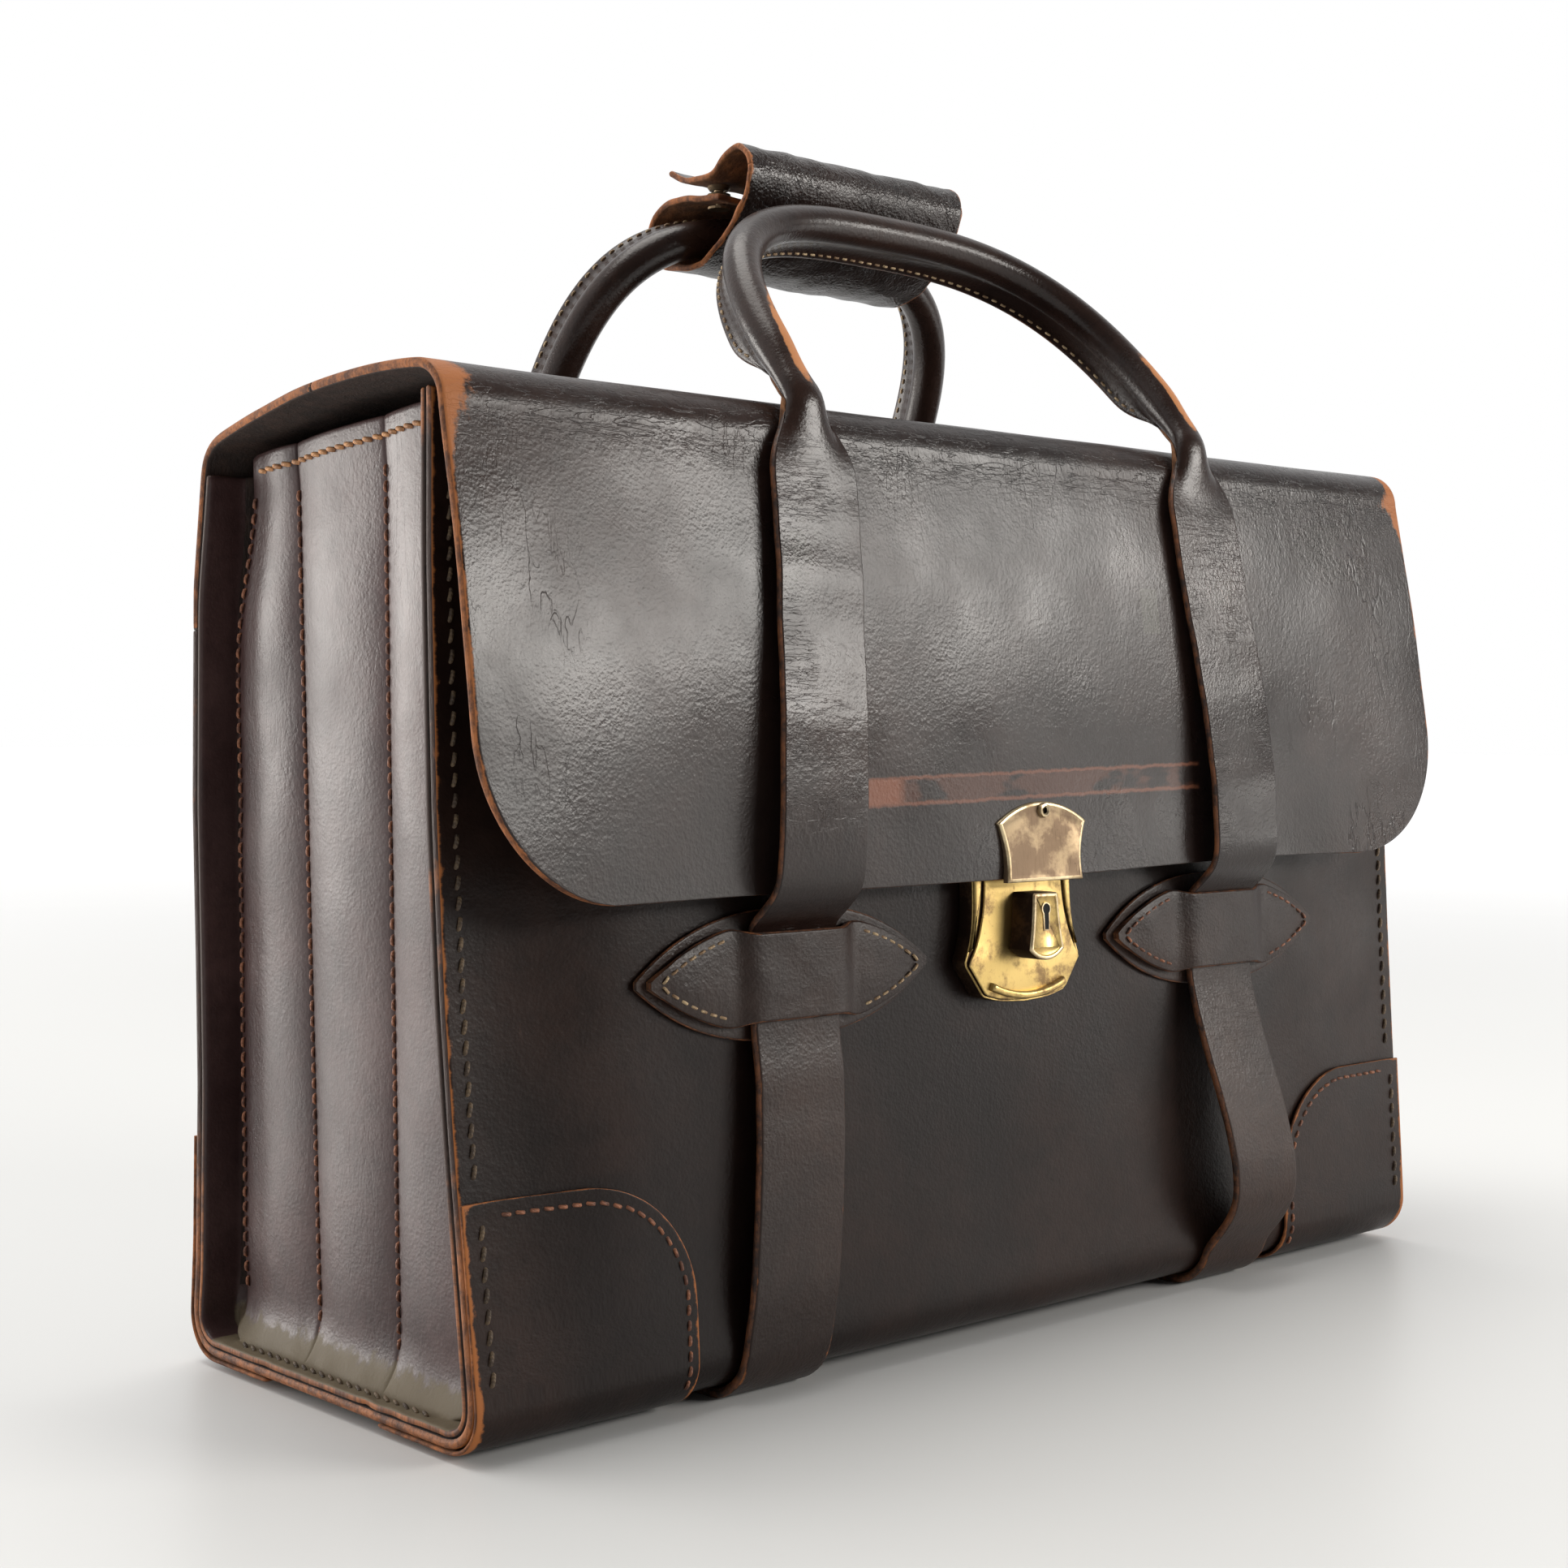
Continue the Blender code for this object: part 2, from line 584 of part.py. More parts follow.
# ---------------------------------------------------------------- grip wrap
def make_wrap_sleeve():
    """The grip wrap's fixed part: a tab over the rear handle, round under it and up to the crest."""
    knots = [(0.0210, 0.3922), (0.0340, 0.3936), (0.0470, 0.3940), (0.0560, 0.3900),
             (0.0585, 0.3820), (0.0550, 0.3745), (0.0460, 0.3705), (0.0360, 0.3695),
             (0.0265, 0.3715), (0.0170, 0.3785), (0.0090, 0.3880), (0.0040, 0.3970),
             (0.0055, 0.4045), (CREST[0] - CREST_GAP, CREST[1] - 0.0003)]
    path = [(p.x, p.y) for p in smooth_curve([(y, z, 0) for y, z in knots], 2)]
    outline = [(p.x, p.y) for p in thicken([Vector(p) for p in path], WRAP_THICK)]
    obj = along_x("grip_wrap", outline, -WRAP_HALF, WRAP_HALF, STRAP_LEATHER)
    for number, x in enumerate((-SNAP_X, SNAP_X)):
        profile = [(0, 0), (0.0013, 0), (0.0013, 0.006), (0, 0.006)]
        combine(obj, turned(f"cut_tab_{number}", profile, (x, SNAP_Y, 0.3905), (0, 0, 1), BRASS))
    return obj


def make_wrap_leaf():
    """The grip wrap's free leaf, from the crest back over the tab."""
    knots = [(CREST[0] + CREST_GAP, CREST[1] - 0.0003), (0.0190, 0.4050), (0.0240, 0.4010),
             (0.0270, 0.4003), (0.0350, 0.4003), (0.0390, 0.4008), (0.0470, 0.4040)]
    path = [(p.x, p.y) for p in smooth_curve([(y, z, 0) for y, z in knots], 2)]
    outline = [(p.x, p.y) for p in thicken([Vector(p) for p in path], WRAP_THICK)]
    obj = along_x("wrap_leaf", outline, -WRAP_HALF, WRAP_HALF, STRAP_LEATHER)
    for number, x in enumerate((-SNAP_X, SNAP_X)):
        profile = [(0, 0), (0.0013, 0), (0.0013, 0.006), (0, 0.006)]
        combine(obj, turned(f"cut_leaf_{number}", profile, (x, SNAP_Y, 0.3978), (0, 0, 1), BRASS))
    return obj


def make_snap(x, suffix):
    """One snap fastener: cap and socket on the leaf, stud and post on the tab."""
    leaf_low, leaf_high = 0.3991, 0.4017
    tab_low, tab_high = 0.3915, 0.3950
    cap = turned(f"snap_cap_{suffix}",
                 [(0, -0.0035), (0.0010, -0.0035), (0.0010, 0.0), (0.0044, 0.0), (0.0042, 0.0008),
                  (0.0030, 0.0015), (0, 0.0017)],
                 (x, SNAP_Y, leaf_high + GAP), (0, 0, 1), NICKEL_BRASS)
    socket = ring_turned(f"snap_socket_{suffix}",
                         [(0.0014, 0.0), (0.0040, 0.0), (0.0040, -0.0016), (0.0030, -0.0016),
                          (0.0030, -0.0008), (0.0014, -0.0008)],
                         (x, SNAP_Y, leaf_low - GAP), NICKEL_BRASS)
    stud = ring_turned(f"snap_stud_{suffix}",
                       [(0.0013, 0.0), (0.0042, 0.0), (0.0042, 0.0006), (0.0019, 0.0009),
                        (0.0019, 0.0022), (0.0013, 0.0022)],
                       (x, SNAP_Y, tab_high + GAP), NICKEL_BRASS)
    post = turned(f"snap_post_{suffix}",
                  [(0, -0.0008), (0.0040, -0.0008), (0.0040, 0.0), (0.0010, 0.0), (0.0010, 0.0040),
                   (0, 0.0040)],
                  (x, SNAP_Y, tab_low - GAP), (0, 0, 1), NICKEL_BRASS)
    return (cap, socket), (stud, post)


# ---------------------------------------------------------------- hasp
def rivet_hole(name):
    profile = [(0, -0.012), (0.0013, -0.012), (0.0013, 0.012), (0, 0.012)]
    return turned(name, profile, (0, flap_face(RIVET_Z), RIVET_Z), (0, 1, 0), BRASS)


def hasp_outline(half_low, half_high, low, shoulder, crown):
    """A fan: straight foot, sides that spread upward, and an arched head."""
    sagitta = crown - shoulder
    radius = (half_high ** 2 + sagitta ** 2) / (2 * sagitta)
    spread = math.degrees(math.asin(half_high / radius))
    head = arc((0, crown - radius), radius, 90 - spread, 90 + spread, 8)
    return [(-half_low, low), (half_low, low)] + head


def make_hasp():
    """The fan-shaped hasp plate on the flap, its backing plate with the catch hook, and the rivet."""
    outline = hasp_outline(0.0190, 0.0225, 0.1527, 0.1725, 0.1795)
    plate = prism("hasp_plate", outline,
                  lambda x, z: (x, flap_face(z) - GAP, z),
                  lambda x, z: (x, flap_face(z) - GAP - 0.0026, z), NICKEL_BRASS)
    combine(plate, rivet_hole("cut_plate_rivet"))
    back_in = LEATHER + GAP
    backing = prism("hasp_backing", hasp_outline(0.0150, 0.0170, 0.1600, 0.1725, 0.1785),
                    lambda x, z: (x, flap_face(z) + back_in + 0.0012, z),
                    lambda x, z: (x, flap_face(z) + back_in, z), STEEL)
    hook_y = wall(-1, 0.1533, 0.0052)
    hook = along_x("tool_hook", [(hook_y - 0.0012, 0.1650), (hook_y - 0.0012, 0.1600),
                                 (hook_y - 0.0006, 0.1515), (hook_y + 0.0034, 0.1515),
                                 (hook_y + 0.0034, 0.1531), (hook_y + 0.0012, 0.1534),
                                 (hook_y + 0.0012, 0.1650)], -0.0014, 0.0014, STEEL)
    combine(backing, hook, "UNION")
    combine(backing, rivet_hole("cut_backing_rivet"))
    face = flap_face(RIVET_Z)
    rivet = turned("hasp_rivet",
                   [(0, -0.0050), (0.0016, -0.0050), (0.0024, -0.0042), (0.0024, -0.0032),
                    (0.0010, -0.0032), (0.0010, 0.0050), (0.0022, 0.0050), (0.0022, 0.0058),
                    (0, 0.0058)],
                   (0, face, RIVET_Z), (0, 1, 0), NICKEL_BRASS)
    return plate, backing, rivet


# ---------------------------------------------------------------- lock
def case_outline(inset=0.0):
    """The lock case from the front: straight neck, flared hips, and a rounded foot."""
    right = [(0.0240, LOCK_TOP), (0.0241, 0.1470), (0.0247, 0.1395), (0.0262, 0.1330),
             (0.0285, 0.1272), (0.0285, 0.1250), (0.0205, 0.1150), (0.0120, 0.1128),
             (0.0, 0.1120)]
    centre = Vector((0, 0.134))
    out = []
    for x, z in right + [(-x, z) for x, z in right[-2::-1]]:
        out.append((x - math.copysign(min(inset, abs(x)), x),
                    z - math.copysign(inset, z - centre.y)))
    return out


def face_prism(name, outline, low, high, mat):
    """A plate parallel to the front panel between two heights above it; outline is (x, z)."""
    return prism(name, outline, lambda x, z: (x, wall(-1, z, low), z),
                 lambda x, z: (x, wall(-1, z, high), z), mat)


def box_outline(half, low, high):
    return [(-half, low), (half, low), (half, high), (-half, high)]


def make_lock_case():
    """The pressed brass case: hollow at the back, with a slot, a hook notch and a raised lip."""
    case = face_prism("lock_case", case_outline(), GAP, CASE_DEPTH, BRASS)
    inside = face_prism("cut_case_inside", case_outline(CASE_WALL + 0.0002), -0.003,
                        CASE_DEPTH - CASE_WALL, BRASS)
    combine(case, inside)
    lip_top = arc((0, 0.1600), 0.0440, 246, 294, 8)
    lip_low = arc((0, 0.1600), 0.0464, 294, 246, 8)
    combine(case, face_prism("tool_lip", lip_top + lip_low, CASE_DEPTH - 0.0006,
                             CASE_DEPTH + 0.0022, BRASS), "UNION")
    slot = face_prism("cut_slot", box_outline(0.0060, 0.1300, 0.1486), 0.004, 0.009, BRASS)
    combine(case, slot)
    notch = face_prism("cut_notch", box_outline(0.0022, 0.1508, 0.1600), 0.0008, 0.009, BRASS)
    combine(case, notch)
    return case


def make_lock_back():
    """The plate inside the front panel and the four screws that hold the case to it."""
    plate = face_prism("lock_back_plate", box_outline(0.0225, 0.1165, 0.1545),
                       -LEATHER - GAP - 0.0010, -LEATHER - GAP, STEEL)
    screws = []
    for number, (x, z) in enumerate(SCREWS, 1):
        foot = (x, wall(-1, z, 0.0), z)
        hole = [(0, -0.006), (SCREW_RADIUS + GAP, -0.006), (SCREW_RADIUS + GAP, 0.008), (0, 0.008)]
        combine(plate, turned(f"cut_plate_{number}", hole, foot, (0, 1, 0), STEEL))
        inner = LEATHER + 2 * GAP + 0.0010
        screws.append(turned(f"lock_screw_{number}",
                             [(0, -0.0030), (SCREW_RADIUS, -0.0030), (SCREW_RADIUS, inner),
                              (0.0023, inner), (0.0018, inner + 0.0009), (0, inner + 0.0009)],
                             foot, (0, 1, 0), STEEL))
    return [plate] + screws


def make_lock_slide():
    """The thumb slide: a block with a keyhole and a stem through the case's slot."""
    foot = arc((0, 0.1385), 0.0118, 224, 316, 8)
    outline = foot + [(0.0060, 0.1490), (-0.0060, 0.1490)]
    low = CASE_DEPTH + GAP
    top = low + BLOCK_DEPTH
    block = face_prism("lock_slide", outline, low, top, BRASS)
    stem = face_prism("tool_stem", box_outline(0.0056, 0.1345, 0.1480), CASE_DEPTH - CASE_WALL - GAP,
                      low + 0.001, BRASS)
    combine(block, stem, "UNION")
    pocket = arc((0, KEY_Z), KEY_RADIUS + 0.0005, 0, 345, 23)
    combine(block, face_prism("cut_pocket", pocket, 0.004, top - 0.0016, BRASS))
    hole = arc((0, 0.1438), 0.0015, -60, 240, 10)
    keyhole = hole + [(-0.00075, 0.1375), (0.00075, 0.1375)]
    combine(block, face_prism("cut_keyhole", keyhole, top - 0.003, top + 0.001, BRASS))
    plate = face_prism("slide_plate", box_outline(0.0080, 0.1325, 0.1500), 0.0038, 0.0056, STEEL)
    disc = arc((0, KEY_Z), KEY_RADIUS, 100, 440, 20)
    bite = [(0.0007, KEY_Z - 0.0008), (-0.0007, KEY_Z - 0.0008)]
    plug = face_prism("key_plug", disc + bite, 0.0062, top - 0.0020, STEEL)
    return block, plate, plug


def make_lock_bolt():
    """The dead bolt that the key throws over the hasp hook."""
    y = wall(-1, 0.1550, 0.0028)
    outline = [(y - 0.0009, 0.1538), (y + 0.0009, 0.1538), (y + 0.0009, 0.1558), (y - 0.0009, 0.1558)]
    return along_x("lock_bolt", outline, 0.0022, 0.0150, STEEL)


def make_slide_spring(turns=6, per_turn=8, sides=5):
    """A small coil spring under the slide plate."""
    low, high = 0.1142, 0.1320
    radius, wire = 0.0017, 0.0003
    sections = []
    for i in range(turns * per_turn + 1):
        angle = 2 * math.pi * i / per_turn
        z = low + (high - low) * i / (turns * per_turn)
        y = wall(-1, z, 0.0042)
        outward = Vector((math.cos(angle), math.sin(angle), 0))
        centre = Vector((0, y, z)) + outward * radius
        sections.append([centre + (outward * math.cos(a) + Vector((0, 0, 1)) * math.sin(a)) * wire
                         for a in (2 * math.pi * k / sides for k in range(sides))])
    return loft("slide_spring", sections, STEEL, smooth=True)


# ---------------------------------------------------------------- assembly
def joint_empty(name, location, children, parent=None):
    """An empty on a joint's axis that carries the pieces that move with it."""
    empty = bpy.data.objects.new(name, None)
    empty.empty_display_size = 0.02
    bpy.context.scene.collection.objects.link(empty)
    offset = Vector(parent["place"]) if parent else Vector((0, 0, 0))
    empty["place"] = tuple(location)
    empty.location = Vector(location) - offset
    empty.parent = parent
    for child in children:
        child.parent = empty
        child.matrix_parent_inverse = Matrix.Translation(-Vector(location))
    return empty


make_body_wrap()
make_gusset(-1, "left_gusset")
make_gusset(1, "right_gusset")
make_divider("front_divider", FRONT_DIVIDER_Y)
make_divider("rear_divider", REAR_DIVIDER_Y)
for side, side_name in ((-1, "front"), (1, "rear")):
    for end, end_name in ((-1, "left"), (1, "right")):
        make_patch(side, end, f"{side_name}_{end_name}_patch")
        make_pad(side, end * STRAP_X, f"{side_name}_{end_name}_keeper_pad")
        make_keeper(side, end * STRAP_X, f"{side_name}_{end_name}_keeper")
make_lower_strap(-STRAP_X, 0.0850, "left_strap")
make_lower_strap(STRAP_X, 0.0945, "right_strap")

flap_top = make_flap_top()
flap_front = make_flap_front()
hasp = make_hasp()
flap_axis = (0, 0.0701, 0.2862)
fold_axis = (0, FOLD_CENTRE[0], FOLD_CENTRE[1] + FLAP_FOLD_RADIUS)
flap_empty = joint_empty("flap_top_axis", flap_axis, [flap_top])
joint_empty("flap_front_axis", fold_axis, [flap_front, *hasp], flap_empty)

front_axis = (0, *HANDLE_HINGE[-1])
rear_axis = (0, *HANDLE_HINGE[1])
front_pieces = [make_handle(-1, "front_handle"), make_core(-1, "front_handle_core")]
joint_empty("front_handle_axis", front_axis, front_pieces)
rear_pieces = [make_handle(1, "rear_handle"), make_core(1, "rear_handle_core"), make_wrap_sleeve()]
leaf_pieces = [make_wrap_leaf()]
for x, suffix in ((-SNAP_X, "left"), (SNAP_X, "right")):
    on_leaf, on_tab = make_snap(x, suffix)
    leaf_pieces.extend(on_leaf)
    rear_pieces.extend(on_tab)
rear_empty = joint_empty("rear_handle_axis", rear_axis, rear_pieces)
joint_empty("wrap_leaf_axis", (0, CREST[0], CREST[1] + WRAP_THICK / 2), leaf_pieces, rear_empty)

make_lock_case()
make_lock_back()
make_slide_spring()
slide, slide_plate, key_plug = make_lock_slide()
slide_empty = joint_empty("lock_slide_axis", (0, wall(-1, 0.14), 0.14), [slide, slide_plate])
joint_empty("key_axis", (0, wall(-1, KEY_Z, 0.010), KEY_Z), [key_plug], slide_empty)
bolt = make_lock_bolt()
joint_empty("lock_bolt_axis", (0, wall(-1, 0.155), 0.155), [bolt])
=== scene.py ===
"""Looks of the leather doctor bag: hides, straps, stitches, brass lock, studio and camera.

Frame: +X along the bag, -Y out of its front, +Z up; metres.
"""
import json
import math

import bmesh
import bpy
import numpy as np
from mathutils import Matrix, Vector, noise


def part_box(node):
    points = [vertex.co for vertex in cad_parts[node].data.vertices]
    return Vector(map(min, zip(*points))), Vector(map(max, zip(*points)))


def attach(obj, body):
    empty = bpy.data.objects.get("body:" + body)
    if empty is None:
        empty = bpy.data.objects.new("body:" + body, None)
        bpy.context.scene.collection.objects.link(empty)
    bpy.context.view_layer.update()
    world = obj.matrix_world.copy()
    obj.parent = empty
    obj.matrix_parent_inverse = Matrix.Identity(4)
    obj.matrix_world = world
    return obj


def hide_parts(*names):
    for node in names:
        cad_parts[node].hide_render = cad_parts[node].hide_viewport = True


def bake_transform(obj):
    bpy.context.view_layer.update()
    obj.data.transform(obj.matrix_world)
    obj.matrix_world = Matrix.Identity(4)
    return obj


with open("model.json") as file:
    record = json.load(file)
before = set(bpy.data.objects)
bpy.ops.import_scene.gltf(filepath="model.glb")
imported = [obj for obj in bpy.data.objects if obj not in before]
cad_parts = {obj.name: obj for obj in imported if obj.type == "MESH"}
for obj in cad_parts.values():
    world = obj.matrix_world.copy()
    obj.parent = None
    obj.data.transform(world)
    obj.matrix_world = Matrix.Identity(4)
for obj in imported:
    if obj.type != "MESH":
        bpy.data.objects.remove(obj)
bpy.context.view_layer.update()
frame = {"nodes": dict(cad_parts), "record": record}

# ---------------------------------------------------------------- sizes that the CAD fixes
WRAP_LOW, WRAP_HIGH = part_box("body_wrap")
HALF_WIDTH = WRAP_HIGH.x
PANEL_TOP = WRAP_HIGH.z
BODY_BOTTOM = WRAP_LOW.z
FLAP_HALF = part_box("flap_front")[1].x
FLAP_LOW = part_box("flap_front")[0].z
HALF_DEPTH = 0.0815
LEAN = {-1: 0.053, 1: 0.040}
LEATHER = 0.003
FOLD_RADIUS = 0.014
GAP = 0.0003
FLAP_PROUD = 0.011
FLAP_CORNER = 0.050
FOLD_CENTRE = (-0.058, 0.296)
FLAP_FOLD_RADIUS = 0.0125
BACK_TOP = 0.2855
HIDE_SPLIT = 0.236           # height of the join between the body hide and the flap's hide, at the back

STRAP_X = 0.107
STRAP_HALF = 0.0185
STRAP_THICK = 0.003
KEEPER_Z = 0.1305
KEEPER_HALF = (0.058, 0.018)
BAND_HALF = (0.0205, 0.0140)
PAD_THICK = 0.0015
KEEPER_THICK = 0.0025

HANDLE_HINGE = {-1: (-0.0845, 0.152), 1: (0.0815, 0.152)}
NECK = {-1: (-0.0712, 0.3100), 1: (0.080, 0.292)}
NECK_X = {-1: 0.097, 1: 0.090}
ARCH = {-1: (0.098, 0.0960, 2.9, 41.3), 1: (0.093, 0.102, 3.3, 26.0)}
ROLL_RADIUS = 0.0054
ROLL_LEATHER = 0.0022
FLANGE = 0.0085
CASE_DEPTH = 0.0075
SIDES = {-1: "front", 1: "rear"}
ENDS = {-1: "left", 1: "right"}


def wall(side, z, offset=0.0):
    """Y outside the front (-1) or back (+1) panel at height z."""
    return side * (HALF_DEPTH - LEAN[side] * z + offset)


def flap_face(z):
    """Y of the hanging flap's outer face."""
    low = wall(-1, FLAP_LOW, FLAP_PROUD)
    top = FOLD_CENTRE[0] - FLAP_FOLD_RADIUS
    return low + (top - low) * (z - FLAP_LOW) / (FOLD_CENTRE[1] - FLAP_LOW)


def ease(value):
    value = min(max(value, 0.0), 1.0)
    return value * value * (3 - 2 * value)


def arc(centre, radius, start, end, steps):
    angles = np.radians(np.linspace(start, end, steps + 1))
    return [(centre[0] + radius * math.cos(a), centre[1] + radius * math.sin(a)) for a in angles]


def smooth_curve(points, steps):
    """A Catmull-Rom curve through the points."""
    knots = [Vector(p) for p in points]
    knots = [2 * knots[0] - knots[1]] + knots + [2 * knots[-1] - knots[-2]]
    out = []
    for a, b, c, d in zip(knots, knots[1:], knots[2:], knots[3:]):
        for i in range(steps):
            t = i / steps
            out.append(0.5 * (2 * b + (c - a) * t + (2 * a - 5 * b + 4 * c - d) * t * t
                              + (3 * b - a - 3 * c + d) * t ** 3))
    return out + [knots[-2]]


def even_points(points, spacing, ends=True):
    """The same route with points at an equal spacing, or with a closer one just inside each end."""
    points = [Vector(p) for p in points]
    lengths = np.concatenate([[0], np.cumsum([(b - a).length for a, b in zip(points, points[1:])])])
    count = max(int(round(lengths[-1] / spacing)), 2)
    targets = np.linspace(0, lengths[-1], count + 1)
    if ends:
        targets = np.sort(np.concatenate([targets, [0.0012, lengths[-1] - 0.0012]]))
    columns = np.array([list(p) for p in points])
    return [Vector(np.interp(t, lengths,
                             columns[:, k]) for k in range(columns.shape[1])) for t in targets]


def spread(low, high, spacing=None, count=None):
    """Values from low to high at about a spacing, or count of them, with a closer one inside each end."""
    count = count or max(int(round(abs(high - low) / spacing)), 2)
    step = math.copysign(min(0.0012, 0.3 * abs(high - low) / count), high - low)
    values = list(np.linspace(low, high, count + 1))
    return [values[0], low + step] + values[1:-1] + [high - step, values[-1]]


def corner_cut(distance, radius):
    """How far a rounded corner pulls an edge in, at a distance from the end of the edge."""
    if distance >= radius:
        return 0.0
    return radius - math.sqrt(max(radius ** 2 - (radius - distance) ** 2, 0.0))


def lumps(x, y, z, scale, seed=0.0):
    """Smooth noise, about -1 to 1."""
    return noise.noise(Vector((x * scale + seed, y * scale - seed, z * scale + 2 * seed)))


# ---------------------------------------------------------------- materials
class Paint:
    """A material under construction: its nodes are added with short calls that return sockets."""

    def __init__(self, name):
        self.mat = bpy.data.materials.new(name)
        self.mat.use_nodes = True
        self.tree = self.mat.node_tree
        self.shader = self.tree.nodes["Principled BSDF"]
        self.heights = []

    def node(self, kind, inputs=(), **settings):
        made = self.tree.nodes.new(kind)
        for key, value in settings.items():
            setattr(made, key, value)
        for key, value in dict(inputs).items():
            self.feed(made.inputs[key], value)
        return made

    def feed(self, socket, value):
        if isinstance(value, bpy.types.NodeSocket):
            self.tree.links.new(value, socket)
        elif isinstance(value, tuple) and len(value) == 3 and socket.type == "RGBA":
            socket.default_value = (*value, 1.0)
        else:
            socket.default_value = value

    def attribute(self, name, output="Fac"):
        return self.node("ShaderNodeAttribute", attribute_name=name).outputs[output]

    def place(self):
        """Where a point was at rest, for a piece of this script."""
        return self.attribute("rest", "Vector")

    def solid(self):
        """Where a point is in its own object, for a rigid piece."""
        return self.node("ShaderNodeTexCoord").outputs["Object"]

    def stretched(self, vector, scale):
        return self.node("ShaderNodeMapping", {"Vector": vector, "Scale": scale}).outputs[0]

    def noise(self, vector, scale, detail=3.0, rough=0.55, distortion=0.0):
        return self.node("ShaderNodeTexNoise", {
            "Vector": vector, "Scale": scale, "Detail": detail, "Roughness": rough,
            "Distortion": distortion}).outputs["Fac"]

    def cells(self, vector, scale, feature="F1", output="Distance"):
        return self.node("ShaderNodeTexVoronoi", {"Vector": vector, "Scale": scale},
                         feature=feature).outputs[output]

    def math(self, operation, a, b=0.0, clamp=False):
        made = self.node("ShaderNodeMath", operation=operation, use_clamp=clamp)
        self.feed(made.inputs[0], a)
        self.feed(made.inputs[1], b)
        return made.outputs[0]

    def step(self, value, low, high, to=(0.0, 1.0)):
        """Smoothly from to[0] at low to to[1] at high."""
        return self.node("ShaderNodeMapRange", {
            "Value": value, "From Min": low, "From Max": high, "To Min": to[0], "To Max": to[1]},
            interpolation_type="SMOOTHSTEP").outputs[0]

    def mix(self, share, a, b):
        made = self.node("ShaderNodeMix", data_type="RGBA")
        self.feed(made.inputs[0], share)
        self.feed(made.inputs[6], a)
        self.feed(made.inputs[7], b)
        return made.outputs[2]

    def axis(self, vector, name):
        return self.node("ShaderNodeSeparateXYZ", {0: vector}).outputs[name]

    def window(self, value, low, high, soft):
        """1 between low and high, 0 outside."""
        return self.math("MULTIPLY", self.step(value, low - soft, low + soft),
                         self.step(value, high - soft, high + soft, (1.0, 0.0)))

    def height(self, value, amount):
        """Add a height in metres to the relief."""
        self.heights.append(self.math("MULTIPLY", value, amount))

    def finish(self, colour, roughness, metallic=0.0, **fixed):
        self.feed(self.shader.inputs["Base Color"], colour)
        self.feed(self.shader.inputs["Roughness"], roughness)
        self.shader.inputs["Metallic"].default_value = metallic
        for key, value in fixed.items():
            self.shader.inputs[key.replace("_", " ")].default_value = value
        if self.heights:
            total = self.heights[0]
            for extra in self.heights[1:]:
                total = self.math("ADD", total, extra)
            bump = self.node("ShaderNodeBump", {"Height": total, "Distance": 1.0, "Strength": 1.0})
            self.feed(self.shader.inputs["Normal"], bump.outputs[0])
        return self.mat


UPRIGHT = (1.0, 1.0, 0.22)


def cracks(paint, at, stretch, scale, width=0.012):
    """Thin wandering lines, stretched out along the axes that stretch makes short."""
    lines = None
    for scale, thin in ((scale, width), (scale * 2.3, width * 1.2)):
        field = paint.noise(paint.stretched(at, stretch), scale, 3.0, 0.55, 0.25)
        away = paint.math("ABSOLUTE", paint.math("SUBTRACT", field, 0.5))
        ridge = paint.step(away, 0.0, thin, (1.0, 0.0))
        lines = paint.math("MAXIMUM", lines, ridge) if lines else ridge
    return lines


def leather(name, dark, light, worn, rough, lines=UPRIGHT, pitch=60.0, grain=0.00004, crease=0.00014,
            marks=None, rub=0.55, shine=0.25, crease_shade=0.45):
    """Tanned hide: mottled colour, pebble grain, creases where the piece says so with painted shade darkening
    their lines, rubbed where it wears.
    """
    paint = Paint(name)
    at = paint.place()
    broad = paint.noise(at, 9.0, 4.0, 0.6)
    fine = paint.noise(at, 150.0, 4.0, 0.65)
    colour = paint.mix(paint.step(broad, 0.38, 0.66), dark, light)
    colour = paint.mix(paint.step(fine, 0.35, 0.75, (0.0, 0.4)), colour, tuple(c * 0.45 for c in dark))
    gate = paint.step(paint.noise(at, 26.0, 2.0), 0.47, 0.60)
    folds = paint.math("MULTIPLY", paint.math("MULTIPLY", cracks(paint, at, lines, pitch), gate),
                       paint.attribute("crease"), True)
    paint.height(folds, -crease)
    paint.height(paint.cells(at, 950.0), grain)
    paint.height(paint.noise(at, 480.0, 3.0), grain * 2.5)
    paint.height(paint.noise(at, 55.0, 3.0), 0.00013)
    # Painted shade: the crease lines are darkened toward a deep brown.
    colour = paint.mix(paint.math("MULTIPLY", folds, crease_shade), colour, tuple(c * 0.3 for c in dark))
    scuffs = paint.noise(paint.stretched(at, (1.0, 1.0, 0.3)), 170.0, 5.0, 0.7)
    scuffed = paint.math("MULTIPLY", paint.step(scuffs, 0.66, 0.78),
                         paint.step(broad, 0.45, 0.65, (0.1, 0.6)))
    colour = paint.mix(scuffed, colour, tuple(min(c * 2.4 + 0.008, 1.0) for c in light))
    if marks:
        colour = marks(paint, at, colour)
    ragged = paint.math("ADD", paint.attribute("wear"),
                        paint.math("MULTIPLY",
                                   paint.math("SUBTRACT", paint.noise(at, 170.0, 5.0, 0.7), 0.5), 0.9))
    rubbed = paint.step(ragged, rub, rub + 0.22)
    colour = paint.mix(rubbed, colour, worn)
    gloss = paint.math("ADD",
                       paint.step(paint.noise(at, 22.0, 4.0), 0.3, 0.7, (rough - 0.05, rough + 0.07)),
                       paint.math("MULTIPLY", rubbed, 0.25))
    gloss = paint.math("ADD", gloss, paint.math("MULTIPLY", scuffed, 0.12))
    return paint.finish(colour, gloss, Specular_IOR_Level=shine)


